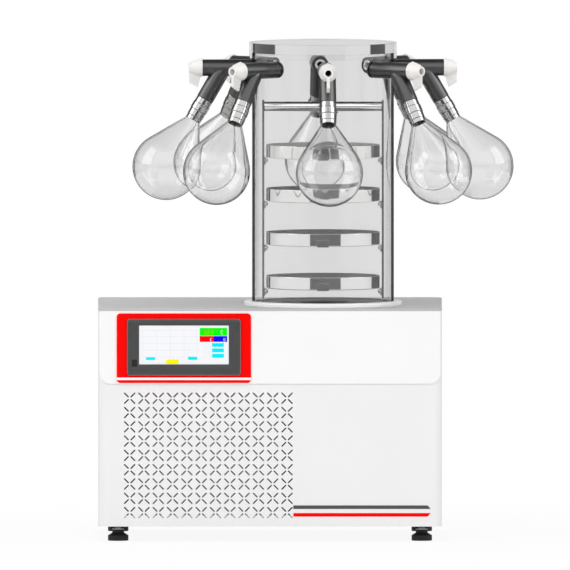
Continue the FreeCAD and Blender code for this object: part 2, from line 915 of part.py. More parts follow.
def make_foot_fittings():
    """A washer under the pan and a nut inside it at each foot, as one group."""
    pieces = []
    for number, (x, y) in enumerate(FOOT_PLACES, start=1):
        washer = new_body(f"foot_washer_{number}")
        ring = sketch_on(washer, f"foot_washer_ring_{number}", "XY_Plane")
        circle(ring, "0", "0", "foot_dia / 2 - panel_gap")
        circle(ring, "0", "0", "stud_dia / 2 + stud_play")
        pad(washer, f"foot_washer_sheet_{number}", ring, "washer_thick")
        place(washer, x, y, "cab_base - washer_thick")
        nut = new_body(f"foot_nut_{number}")
        hexagon = sketch_on(nut, f"foot_nut_hexagon_{number}", "XY_Plane")
        across = "nut_flats / 2"
        point = "nut_flats / 2 / cos(30 * 1 deg)"
        shoulder = f"{point} * 0.5"
        outline(
            hexagon,
            [
                (point, "0"),
                (shoulder, across),
                (f"-({shoulder})", across),
                (f"-({point})", "0"),
                (f"-({shoulder})", f"-({across})"),
                (shoulder, f"-({across})"),
            ],
        )
        circle(hexagon, "0", "0", "stud_dia / 2 + stud_play")
        pad(nut, f"foot_nut_blank_{number}", hexagon, "nut_thick")
        place(nut, x, y, "cab_base + sheet_thick")
        pieces += [washer, nut]
    group = doc.addObject("Part::Compound", "foot_fittings")
    group.Links = pieces
    return group


# ---- cold trap -----------------------------------------------------------------------

def part_turned(name, corners, arc, yaw):
    """A body turned about the drum's axis through an arc, from a formula's yaw on."""
    body = new_body(name)
    sketch = sketch_on(body, f"{name}_profile", "XZ_Plane")
    outline(sketch, corners)
    feature = revolve(body, f"{name}_turning", sketch)
    bind(feature, Angle=arc)
    place(body, DRUM_X, yaw=yaw)
    return body


def make_trap_wall():
    """Rolled steel wall of the pot, hung by its flange on the top cover, in two parts.

    The rear part carries the vacuum tube, and the other closes the ring.
    """
    corners = [
        (POT_OUT, f"{POT_FLOOR} + pot_wall"),
        (POT_OUT, "cab_top"),
        (FLANGE_OUT, "cab_top"),
        (FLANGE_OUT, "cab_top + pot_wall"),
        (POT_IN, "cab_top + pot_wall"),
        (POT_IN, f"{POT_FLOOR} + pot_wall"),
    ]
    front = part_turned("trap_wall", corners, "360 - port_arc", "90 + port_arc / 2")
    rear = part_turned("trap_port_wall", corners, "port_arc", "90 - port_arc / 2")
    outlet = sketch_on(rear, "trap_outlet", "YZ_Plane")
    circle(outlet, "0", "cab_base + port_high", "port_dia / 2 + drum_fit")
    outlet.setExpression("AttachmentOffset.Rotation.Axis.y", "1")
    outlet.setExpression("AttachmentOffset.Rotation.Axis.z", "0")
    outlet.setExpression("AttachmentOffset.Rotation.Angle", linked("port_arc / 2"))
    pocket(rear, "trap_port", outlet, f"2 * {POT_OUT}", reverse=True)
    return front, rear


def make_trap_floor():
    """Floor of the pot, with the drain's hole."""
    body = new_body("trap_floor")
    plan = sketch_on(body, "trap_floor_plan", "XY_Plane", POT_FLOOR)
    circle(plan, "0", "0", POT_OUT)
    circle(plan, "0", "0", "drain_bore / 2")
    pad(body, "trap_floor_plate", plan, "pot_wall")
    place(body, DRUM_X)
    return body


def make_trap_insulation():
    """Foam jacket round the pot, with a slot for the vacuum tube, on a foam disc."""
    low = f"{POT_FLOOR} - foam_gap"
    high = f"({COVER_LOW}) - foam_gap"
    outside = f"{POT_OUT} + foam_wall"
    inside = f"{POT_OUT} + foam_gap"
    jacket = part_turned(
        "foam_jacket",
        [(outside, low), (outside, high), (inside, high), (inside, low)],
        "360 - foam_slot_arc",
        "90 + foam_slot_arc / 2",
    )
    base = new_body("foam_base")
    plan = sketch_on(base, "foam_base_plan", "XY_Plane", f"{POT_FLOOR} - foam_base")
    circle(plan, "0", "0", outside)
    circle(plan, "0", "0", "drain_dia / 2 + foam_gap")
    pad(base, "foam_base_disc", plan, "foam_base - foam_gap")
    place(base, DRUM_X)
    return jacket, base


# ---- drum, lid, ring, baffle ---------------------------------------------------------

def make_base_ring():
    """Moulded seat ring under the drum, with a step that the drum's edge stands in."""
    inner = f"{DRUM_IN} - seal_gap"
    outer = RING_RADIUS
    low = "cab_top"
    flange_room = f"{FLANGE_OUT} + seal_gap"
    body = turned(
        "base_ring",
        [
            (flange_room, low),
            (outer, low, "ring_round"),
            (outer, f"{low} + ring_tall", "ring_round"),
            (f"{DRUM_OUT} + seal_gap", f"{low} + ring_tall"),
            (f"{DRUM_OUT} + seal_gap", f"{low} + ring_seat"),
            (inner, f"{low} + ring_seat"),
            (inner, f"{low} + pot_wall + seal_gap"),
            (flange_room, f"{low} + pot_wall + seal_gap"),
        ],
    )
    place(body, DRUM_X)
    return body


def make_baffle_plate():
    """Plate over the trap, with a centre opening and a ring of vapour holes."""
    body = new_body("baffle_plate")
    disc = sketch_on(body, "baffle_plate_disc", "XY_Plane", "cab_top + pot_wall")
    circle(disc, "0", "0", f"{DRUM_IN} - baffle_gap")
    circle(disc, "0", "0", "baffle_bore / 2")
    pad(body, "baffle_plate_sheet", disc, "baffle_thick")
    hole = sketch_on(body, "baffle_plate_hole", "XY_Plane", "cab_top + pot_wall")
    circle(hole, f"baffle_bore / 4 + {POT_OUT} / 2", "0", "baffle_hole / 2")
    first = pocket(body, "baffle_plate_first_hole", hole, "baffle_thick", reverse=True)
    circular_pattern(body, "baffle_plate_holes", first, "baffle_holes")
    place(body, DRUM_X)
    return body


def make_drum():
    """Clear tube with a hole for each flask valve."""
    low = "cab_top + ring_seat"
    body = turned(
        "drum",
        [
            (DRUM_IN, low),
            (DRUM_OUT, low),
            (DRUM_OUT, "cab_top + drum_top"),
            (DRUM_IN, "cab_top + drum_top"),
        ],
    )
    hole = sketch_on(body, "drum_hole", "YZ_Plane")
    circle(hole, "0", VALVE_Z, "spigot_dia / 2 + drum_fit")
    first = pocket(body, "drum_first_hole", hole, "drum_dia", reverse=True)
    circular_pattern(body, "drum_holes", first, str(VALVE_COUNT))
    place(body, DRUM_X, yaw="manifold_turn")
    return body


def make_drum_lid():
    """Thick clear lid that lies on the drum's upper edge, with a skirt round it."""
    seat = "cab_top + drum_top"
    low = f"{seat} - lid_skirt"
    high = f"{low} + lid_thick"
    outer = "drum_dia / 2 + lid_margin"
    body = turned(
        "drum_lid",
        [
            ("0", seat),
            (f"{DRUM_OUT} + seal_gap", seat),
            (f"{DRUM_OUT} + seal_gap", low),
            (outer, low),
            (outer, high, "lid_round"),
            ("0", high),
        ],
    )
    place(body, DRUM_X)
    return body


# ---- rack and trays ------------------------------------------------------------------

RACK_INNER = f"({TRAY_OUT} + rack_gap)"
HANDLE_RISE = f"tray_first + tray_pitch * ({TRAY_COUNT} - 1) + handle_above"


def make_rack_side(name, hand):
    """Upright strip of the rack with two pegs under each tray; hand is "" or "-"."""

    def between(near, far):
        """Left and right of a box that reaches from near to far on this hand."""
        ends = (f"{hand}{near}", f"{hand}{far}")
        return ends if hand == "" else ends[::-1]

    body = new_body(name)
    left, right = between(RACK_INNER, f"({RACK_INNER} + rack_thick)")
    plan = sketch_on(body, f"{name}_plan", "XY_Plane", BAFFLE_TOP)
    box_outline(plan, left, "-rack_wide / 2", right, "rack_wide / 2")
    pad(body, f"{name}_strip", plan, f"{HANDLE_RISE} + rack_above")
    pegs = sketch_on(body, f"{name}_pegs", "XY_Plane", f"({BAFFLE_TOP}) + tray_first - peg_tall")
    left, right = between(f"({RACK_INNER} - peg_long)", f"({RACK_INNER} + rack_thick / 2)")
    for spread in ("peg_spread", "-peg_spread"):
        box_outline(pegs, left, f"{spread} - peg_wide / 2", right, f"{spread} + peg_wide / 2")
    first = pad(body, f"{name}_first_pegs", pegs, "peg_tall")
    row_pattern(body, f"{name}_all_pegs", first, "Z_Axis", "tray_pitch", str(TRAY_COUNT))
    place(body, DRUM_X)
    return body


def make_rack_handle():
    """Carrying tube, welded between the strips."""
    body = new_body("rack_handle")
    tube = sketch_on(body, "rack_handle_section", "YZ_Plane")
    rise = f"({BAFFLE_TOP}) + {HANDLE_RISE}"
    circle(tube, "0", rise, "handle_dia / 2")
    circle(tube, "0", rise, "handle_dia / 2 - handle_wall")
    pad(body, "rack_handle_tube", tube, f"2 * {RACK_INNER}", midplane=True)
    place(body, DRUM_X)
    return body


def make_tray(number):
    """Pressed tray with a rounded foot and a pull tab at its front."""
    name = f"tray_{number}"
    outer = TRAY_OUT
    body = turned(
        name,
        [
            ("0", "0"),
            (outer, "0", "tray_round"),
            (outer, "tray_tall"),
            (f"{outer} - tray_wall", "tray_tall"),
            (f"{outer} - tray_wall", "tray_wall", "tray_round - tray_wall"),
            ("0", "tray_wall"),
        ],
    )
    tab = sketch_on(body, f"{name}_tab", "XZ_Plane", f"{outer} - tray_wall / 2")
    box_outline(
        tab,
        "-tray_tab_wide / 2",
        "-tray_tab_drop",
        "tray_tab_wide / 2",
        "tray_tab_tall - tray_tab_drop",
        "tray_round / 2",
    )
    pad(body, f"{name}_pull", tab, "tray_tab_thick")
    place(body, DRUM_X, "0", f"({BAFFLE_TOP}) + tray_first + tray_pitch * ({number} - 1)")
    return body


# ---- flask valves --------------------------------------------------------------------
# Each valve is built along +X from the drum's axis and then turned to its port.

def port_yaw(number):
    """Angle of a port about the drum's axis; port 1 is the front one."""
    return f"manifold_turn - 90 + {VALVE_STEP} * ({number} - 1)"


def make_valve_body(number):
    """Rubber valve: a tube that snaps into the drum's wall, with a slanted branch."""
    name = f"valve_body_{number}"
    lip_start = f"({DRUM_IN}) - valve_lip"
    barrel = cylinder(
        f"{name}_barrel", "valve_dia / 2", f"{VALVE_END} - ({lip_start})", x=lip_start, pitch="90"
    )
    branch = cylinder(
        f"{name}_branch", "branch_dia / 2", "branch_long", x=BRANCH_X, pitch="180 - branch_tilt"
    )
    solid = joined(f"{name}_solid", [barrel, branch])

    wall_out = cylinder(f"{name}_wall_out", f"({DRUM_OUT}) + drum_fit", "valve_dia * 2", z="-valve_dia")
    wall_in = cylinder(f"{name}_wall_in", f"({DRUM_IN}) - drum_fit", "valve_dia * 2", z="-valve_dia")
    wall = cut_from(f"{name}_wall", wall_out, wall_in)
    spigot = cylinder(f"{name}_spigot", "spigot_dia / 2", "drum_dia", pitch="90")
    groove = cut_from(f"{name}_groove", wall, spigot)
    bore = cylinder(f"{name}_bore", "(plug_dia + plug_fit) / 2", VALVE_END, x="1", pitch="90")
    port = cylinder(
        f"{name}_port", "plug_bore / 2", "branch_long / 2", x=BRANCH_X, pitch="180 - branch_tilt"
    )
    outlet_start = "valve_dia / 2"
    outlet = cylinder(
        f"{name}_outlet",
        "branch_bore / 2",
        "branch_long",
        x=f"{BRANCH_X} + {outlet_start} * sin(branch_tilt * 1 deg)",
        z=f"-{outlet_start} * cos(branch_tilt * 1 deg)",
        pitch="180 - branch_tilt",
    )
    hollows = joined(f"{name}_hollows", [groove, bore, port, outlet])
    valve = cut_from(name, solid, hollows)
    place(valve, DRUM_X, "0", VALVE_Z, yaw=port_yaw(number))
    return valve


def grouped(name, pieces):
    """Pieces that are all alike, as one node."""
    group = doc.addObject("Part::Compound", name)
    group.Links = pieces
    return group


def make_valve_plug(number):
    """White plug: a bored core in the valve, with a tapered cap and a lever fin."""
    name = f"valve_plug_{number}"
    core, cap, tip = "plug_dia / 2", "cap_dia / 2", "cap_tip_dia / 2"
    start = f"({DRUM_IN}) - valve_lip"
    cap_start = f"{VALVE_END} + cap_gap"
    cap_end = f"{VALVE_END} + cap_long"
    body = turned(
        name,
        [
            (start, "plug_bore / 2"),
            (start, core),
            (cap_start, core),
            (cap_start, cap),
            (f"{cap_start} + cap_long * 0.3", f"{cap} - cap_draft"),
            (f"{cap_end} - cap_long * 0.2", f"{tip} + cap_swell"),
            (cap_end, tip),
            (cap_end, "cap_hole / 2"),
            (cap_start, "cap_hole / 2"),
            (cap_start, "plug_bore / 2"),
        ],
        axis="H_Axis",
    )
    fin = sketch_on(body, f"{name}_fin", "XZ_Plane")
    outline(
        fin,
        [
            (f"{VALVE_END} + cap_long * 0.1", f"-({cap} - fin_root)"),
            (f"{VALVE_END} + cap_long * 0.35", "-fin_reach"),
            (f"{cap_end} - fin_end_gap", "-fin_tip_low"),
            (f"{cap_end} - fin_end_gap", "-fin_tip_high"),
            (f"{cap_end} - fin_lip", "-fin_tip_high"),
        ],
    )
    pad(body, f"{name}_lever", fin, "fin_thick", midplane=True)
    ridge = sketch_on(body, f"{name}_ridge", "XZ_Plane")
    outline(
        ridge,
        [
            (f"{cap_start} + ridge_start", f"{cap} - ridge_tall / 1.4"),
            (f"{cap_end} - ridge_end", f"{tip} + ridge_tall / 4.2"),
            (f"{cap_end} - ridge_end", f"{tip} + ridge_tall / 4.2 + ridge_tall"),
            (f"{cap_start} + ridge_start", f"{cap} + ridge_tall / 1.75"),
        ],
    )
    pad(body, f"{name}_mark", ridge, "fin_thick / 2", midplane=True)
    side = sketch_on(body, f"{name}_side", "XZ_Plane")
    lean = "tan(branch_tilt * 1 deg)"
    half = "plug_bore / 2 / cos(branch_tilt * 1 deg)"
    outline(
        side,
        [
            (f"{BRANCH_X} - {half}", "0"),
            (f"{BRANCH_X} + {half}", "0"),
            (f"{BRANCH_X} + {half} + plug_dia * {lean}", "-plug_dia"),
            (f"{BRANCH_X} - {half} + plug_dia * {lean}", "-plug_dia"),
        ],
    )
    pocket(body, f"{name}_cross_port", side, "plug_bore * 0.9", midplane=True)
    place(body, DRUM_X, "0", VALVE_Z, yaw=port_yaw(number))
    return body


def place_on_branch(item, number):
    """Stand an object on a branch: its own -Z axis runs out along the branch."""
    yaw = port_yaw(number)
    place(
        item,
        f"({DRUM_X}) + {BRANCH_X} * cos(({yaw}) * 1 deg)",
        f"{BRANCH_X} * sin(({yaw}) * 1 deg)",
        VALVE_Z,
        yaw=yaw,
        pitch="-branch_tilt",
    )


def make_flask_couplings():
    """Plated sleeves between the branches and the flasks, all alike, as one group."""
    pieces = []
    for number in range(1, VALVE_COUNT + 1):
        top = "-branch_long"
        low = "-branch_long - coupling_long"
        insert = "branch_bore / 2 - coupling_fit"
        neck_room = "neck_dia / 2 + neck_fit"
        narrow = f"{neck_room} + coupling_wall"
        wide = f"{narrow} + coupling_swell"
        shoulder = f"({low}) + neck_in + neck_fit"
        step = "coupling_long / 4"
        sleeve = turned(
            f"flask_coupling_{number}",
            [
                ("coupling_bore / 2", shoulder),
                (neck_room, shoulder),
                (neck_room, low),
                (narrow, low),
                (narrow, f"({top}) - {step} * 2.4"),
                (f"{narrow} + bead_swell", f"({top}) - {step} * 2.1"),
                (f"{wide} - bead_drop", f"({top}) - {step} * 1.1"),
                (wide, f"({top}) - {step} * 0.95"),
                (wide, top),
                (insert, top),
                (insert, f"({top}) + coupling_insert"),
                ("coupling_bore / 2", f"({top}) + coupling_insert"),
            ],
        )
        pins = sketch_on(sleeve, f"flask_coupling_pins_{number}", "XZ_Plane")
        circle(pins, "0", f"({top}) - {step} * 0.8", "coupling_long / 16")
        for hand in (False, True):
            sketch = pins
            if hand:
                sketch = sketch_on(sleeve, f"flask_coupling_pins_back_{number}", "XZ_Plane")
                circle(sketch, "0", f"({top}) - {step} * 0.8", "coupling_long / 16")
            knob = sleeve.newObject("PartDesign::Pad", f"flask_coupling_pin_{number}_{int(hand)}")
            knob.Profile = sketch
            knob.Reversed = hand
            bind(knob, Length=f"{wide} + pin_proud")
        bore = sketch_on(sleeve, f"flask_coupling_bore_{number}", "XY_Plane")
        circle(bore, "0", "0", "coupling_bore / 2")
        pocket(sleeve, f"flask_coupling_way_{number}", bore)
        place_on_branch(sleeve, number)
        pieces.append(sleeve)
    return grouped("flask_couplings", pieces)


def make_flask(number):
    """Blown glass flask: a short neck, a cone and a ball, with an even wall."""
    name = f"flask_{number}"
    low = "-branch_long - coupling_long"
    neck = "neck_dia / 2"
    inner_neck = "neck_dia / 2 - flask_wall"
    top = f"({low}) + neck_in"
    slope = "flask_cone * 1 deg"
    tangent_up = f"-flask_centre + flask_radius * sin({slope})"
    tangent_in = f"flask_radius * cos({slope})"
    cone_top = f"({tangent_up}) + (({tangent_in}) - {neck}) / tan({slope})"
    ball = "(flask_radius - flask_wall)"
    ball_up = f"-flask_centre + {ball} * sin({slope})"
    ball_in = f"{ball} * cos({slope})"
    ball_top = f"({ball_up}) + (({ball_in}) - ({inner_neck})) / tan({slope})"
    body = new_body(name)
    sketch = sketch_on(body, f"{name}_profile", "XZ_Plane")
    points = [
        ("0", "-flask_centre - flask_radius"),
        (tangent_in, tangent_up),
        (neck, cone_top),
        (neck, top),
        (inner_neck, top),
        (inner_neck, ball_top),
        (ball_in, ball_up),
        ("0", f"-flask_centre - {ball}"),
    ]
    spots = [FreeCAD.Vector(size(x), size(z), 0) for x, z in points]
    middle = FreeCAD.Vector(0, -size("flask_centre"), 0)
    first = math.radians(-90)
    last = math.radians(size("flask_cone"))
    outer = Part.Circle(middle, FreeCAD.Vector(0, 0, 1), size("flask_radius"))
    inner = Part.Circle(middle, FreeCAD.Vector(0, 0, 1), size(ball))
    shapes = [
        Part.ArcOfCircle(outer, first, last),
        Part.LineSegment(spots[1], spots[2]),
        Part.LineSegment(spots[2], spots[3]),
        Part.LineSegment(spots[3], spots[4]),
        Part.LineSegment(spots[4], spots[5]),
        Part.LineSegment(spots[5], spots[6]),
        Part.ArcOfCircle(inner, first, last),
        Part.LineSegment(spots[7], spots[0]),
    ]
    index = [sketch.addGeometry(shape, False) for shape in shapes]
    join = Sketcher.Constraint
    for line in range(1, 5):
        sketch.addConstraint(join("Coincident", index[line], 2, index[line + 1], 1))
    sketch.addConstraint(join("Coincident", index[0], 2, index[1], 1))
    sketch.addConstraint(join("Coincident", index[5], 2, index[6], 2))
    sketch.addConstraint(join("Coincident", index[6], 1, index[7], 1))
    sketch.addConstraint(join("Coincident", index[7], 2, index[0], 1))
    for line in range(1, 6):
        pin_point(sketch, index[line], 1, *points[line])
    pin_point(sketch, index[5], 2, *points[6])
    pin_point(sketch, index[7], 1, *points[7])
    pin_point(sketch, index[7], 2, *points[0])
    for arc, radius in ((index[0], "flask_radius"), (index[6], ball)):
        held = sketch.addConstraint(join("Radius", arc, size(radius)))
        sketch.setExpression(f"Constraints[{held}]", linked(radius))
    revolve(body, f"{name}_blowing", sketch)
    place_on_branch(body, number)
    return body


# ---- condensing unit -----------------------------------------------------------------

COND_LEFT = f"({LEFT}) + cond_left"
COND_FRONT = f"({FRONT}) + cond_front"
COND_BACK = f"({COND_FRONT}) + cond_deep"
PAN_FLOOR = "cab_base + sheet_thick"


def make_condenser():
    """Finned block on two feet, with its fins cut as a row of slots front and back."""
    body = new_body("condenser")
    front = sketch_on(body, "condenser_front", "XZ_Plane", f"-({COND_FRONT})")
    low = "cab_base + cond_low"
    high = f"{low} + cond_tall"
    right = f"({COND_LEFT}) + cond_wide"
    outline(
        front,
        [
            (COND_LEFT, PAN_FLOOR),
            (f"({COND_LEFT}) + cond_low", PAN_FLOOR),
            (f"({COND_LEFT}) + cond_low", low),
            (f"{right} - cond_low", low),
            (f"{right} - cond_low", PAN_FLOOR),
            (right, PAN_FLOOR),
            (right, high),
            (COND_LEFT, high),
        ],
    )
    pad(body, "condenser_core", front, "cond_deep", reverse=True)
    for side, plane, reverse in (("front", COND_FRONT, False), ("back", COND_BACK, True)):
        slot = sketch_on(body, f"condenser_{side}_slot", "XZ_Plane", f"-({plane})")
        slot_left = f"({COND_LEFT}) + fin_pitch"
        box_outline(
            slot, slot_left, f"{low} + 2", f"({slot_left}) + fin_gap", f"{high} - 2"
        )
        first = pocket(body, f"condenser_{side}_gap", slot, "fin_slot", reverse=reverse)
        count = "floor((cond_wide - 2 * fin_pitch) / fin_pitch)"
        row_pattern(body, f"condenser_{side}_fins", first, "X_Axis", "fin_pitch", count)
    return body


def make_fan_shroud():
    """Shroud plate on the condenser, with a collar, three arms and the fan's motor."""
    body = new_body("fan_shroud")
    plate = sketch_on(body, "fan_shroud_plate", "XZ_Plane", f"-({COND_BACK})")
    low = "cab_base + cond_low"
    box_outline(
        plate, COND_LEFT, low, f"({COND_LEFT}) + cond_wide", f"{low} + cond_tall"
    )
    circle(plate, FAN_X, FAN_Z, SHROUD_IN)
    pad(body, "fan_shroud_sheet", plate, "shroud_wall", reverse=True)
    collar = sketch_on(body, "fan_shroud_collar", "XZ_Plane", f"-({COND_BACK})")
    circle(collar, FAN_X, FAN_Z, f"{SHROUD_IN} + shroud_wall")
    circle(collar, FAN_X, FAN_Z, SHROUD_IN)
    pad(body, "fan_shroud_ring", collar, "shroud_deep", reverse=True)
    arms = sketch_on(body, "fan_shroud_arms", "XZ_Plane", f"-({MOTOR_FRONT})")
    reach = f"{SHROUD_IN} + shroud_wall / 2"
    arm = "motor_dia / 10"
    left, right = f"({FAN_X}) - {reach}", f"({FAN_X}) + {reach}"
    box_outline(arms, left, f"({FAN_Z}) - {arm}", right, f"({FAN_Z}) + {arm}")
    pad(body, "fan_shroud_bar", arms, "shroud_wall * 2", reverse=True)
    motor = sketch_on(body, "fan_shroud_motor", "XZ_Plane", f"-({MOTOR_FRONT})")
    circle(motor, FAN_X, FAN_Z, "motor_dia / 2")
    pad(body, "fan_shroud_can", motor, "motor_long", reverse=True)
    shaft = sketch_on(body, "fan_shroud_shaft", "XZ_Plane", f"-({MOTOR_FRONT})")
    circle(shaft, FAN_X, FAN_Z, "shaft_dia / 2")
    pad(body, "fan_shroud_spindle", shaft, "fan_deep + 2 * shroud_wall")
    return body


MOTOR_FRONT = f"({COND_BACK}) + shroud_deep - 2 * shroud_wall"


def make_fan_rotor():
    """Hub with slanted blades, bored for the motor's shaft; it turns about Y."""
    body = new_body("fan_rotor")
    hub = sketch_on(body, "fan_rotor_hub", "XY_Plane")
    circle(hub, "0", "0", "fan_hub / 2")
    circle(hub, "0", "0", "shaft_dia / 2 + shaft_fit")
    pad(body, "fan_rotor_boss", hub, "fan_deep")
    blade = sketch_on(body, "fan_rotor_blade", "YZ_Plane", "fan_hub / 2 - blade_root")
    half = "fan_deep * 0.9"
    outline(
        blade,
        [
            (f"-({half})", "blade_edge"),
            (f"-({half}) + blade_chord", "blade_edge"),
            (half, "fan_deep - blade_edge"),
            (f"{half} - blade_chord", "fan_deep - blade_edge"),
        ],
    )
    first = pad(body, "fan_rotor_first_blade", blade, f"{SHROUD_IN} - fan_tip_gap - fan_hub / 2")
    circular_pattern(body, "fan_rotor_blades", first, "fan_blades")
    place(body, FAN_X, f"({MOTOR_FRONT}) - fan_gap", FAN_Z, roll="90")
    return body


def make_compressor():
    """Hermetic shell on a foot plate, with a terminal box and two tube stubs."""
    radius = "comp_dia / 2"
    body = turned(
        "compressor",
        [
            ("0", "0"),
            (radius, "0", "comp_round * 0.5"),
            (radius, "comp_tall", "comp_round"),
            ("0", "comp_tall"),
        ],
    )
    plate = sketch_on(body, "compressor_plate", "XY_Plane")
    across, along = f"({radius} + comp_ear)", f"({radius} + comp_skirt)"
    box_outline(plate, f"-{across}", f"-{along}", across, along, "ear_round")
    pad(body, "compressor_foot", plate, "ear_thick")
    case = sketch_on(body, "compressor_case", "YZ_Plane", f"{radius} - case_sunk")
    low, high = "comp_tall * 0.35", "comp_tall * 0.7"
    box_outline(case, "-case_half", low, "case_half", high, "case_round")
    pad(body, "compressor_terminals", case, "case_deep")
    stubs = sketch_on(body, "compressor_stubs", "XY_Plane", "comp_tall * 0.8")
    circle(stubs, "-comp_dia * 0.22", "comp_dia * 0.15", "stub_wide")
    circle(stubs, "comp_dia * 0.1", "-comp_dia * 0.25", "stub_thin")
    pad(body, "compressor_tubes", stubs, "comp_tall * 0.2 + stub_long")
    place(body, f"({LEFT}) + comp_left", f"({BACK}) - comp_back", PAN_FLOOR)
    return body


# ---- rear services -------------------------------------------------------------------

def make_vacuum_port():
    """Tube from the pot's wall out through the rear panel, ending in a clamp flange."""
    bore, tube, flange = "port_bore / 2", "port_dia / 2", "port_flange / 2"
    start = f"sqrt(pow({POT_OUT}; 2) - pow(port_dia / 2; 2)) - pot_wall - 1"
    end = f"({BACK}) + port_out"
    body = new_body("vacuum_port")
    profile = sketch_on(body, "vacuum_port_profile", "YZ_Plane")
    outline(
        profile,
        [
            (start, bore),
            (end, bore),
            (end, flange),
            (f"({end}) - port_lip", flange),
            (f"({end}) - port_lip - (port_flange - port_dia) / 2 * tan(15 * 1 deg)", tube),
            (start, tube),
        ],
    )
    revolve(body, "vacuum_port_turning", profile, "H_Axis")
    place(body, DRUM_X, "0", "cab_base + port_high")
    return body


def make_drain_valve():
    """Drain pipe from the pot's floor to the rear, with a ball valve and a barb."""
    pipe = "drain_dia / 2"
    rise = "cab_top - pot_deep - (cab_base + drain_high)"
    riser = cylinder("drain_riser", pipe, f"{rise}")
    elbow = doc.addObject("Part::Sphere", "drain_elbow")
    bind(elbow, Radius=pipe)
    run = cylinder("drain_run", pipe, f"({BACK}) + drain_out / 4", roll="-90")
    middle = f"({BACK}) + drain_out * 5 / 12"
    ball = cylinder(
        "drain_body", "ball_dia / 2", "drain_out / 2", y=f"({BACK}) + drain_out / 6", roll="-90"
    )
    stem = cylinder("drain_stem", "ball_dia / 4", "ball_dia * 0.72", y=middle)
    pivot = cylinder(
        "drain_pivot", "shaft_dia / 4", "ball_dia * 0.72 + lever_thick + 2", y=middle
    )
    barb = doc.addObject("Part::Cone", "drain_barb")
    bind(barb, Radius1="drain_dia * 0.46", Radius2="drain_dia * 0.34", Height="drain_out / 3")
    place(barb, y=f"({BACK}) + drain_out * 2 / 3", roll="-90")
    solid = joined("drain_solid", [riser, elbow, run, ball, stem, pivot, barb])
    way_up = cylinder("drain_way_up", "drain_bore / 2", f"{rise} + 1")
    way_bend = doc.addObject("Part::Sphere", "drain_way_bend")
    bind(way_bend, Radius="drain_bore / 2")
    way_in = cylinder("drain_way_in", "drain_bore / 2", f"({BACK}) + drain_out / 6", roll="-90")
    way_out = cylinder(
        "drain_way_out", "drain_bore / 4", "drain_out", y=f"({BACK}) + drain_out / 8", roll="-90"
    )
    ways = joined("drain_ways", [way_up, way_bend, way_in, way_out])
    valve = cut_from("drain_valve", solid, ways)
    place(valve, DRUM_X, "0", "cab_base + drain_high")
    return valve


def make_drain_lever():
    """Flat lever on the drain valve's pivot; it turns about Z."""
    body = new_body("drain_lever")
    flat = sketch_on(body, "drain_lever_flat", "XY_Plane")
    box_outline(flat, "-ball_dia / 4", "-ball_dia / 4", "lever_long", "ball_dia / 4", "ball_dia / 4 - 0.1")
    circle(flat, "0", "0", "shaft_dia / 4 + shaft_fit")
    pad(body, "drain_lever_sheet", flat, "lever_thick")
    place(body, DRUM_X, f"({BACK}) + drain_out * 5 / 12", "cab_base + drain_high + ball_dia * 0.72 + 0.1")
    return body


ROCKER_Z = "cab_base + power_high + power_tall * 0.23"
ROCKER_Y = f"({BACK}) + power_proud - 4"
INLET_Z = "cab_base + power_high - power_tall * 0.15"


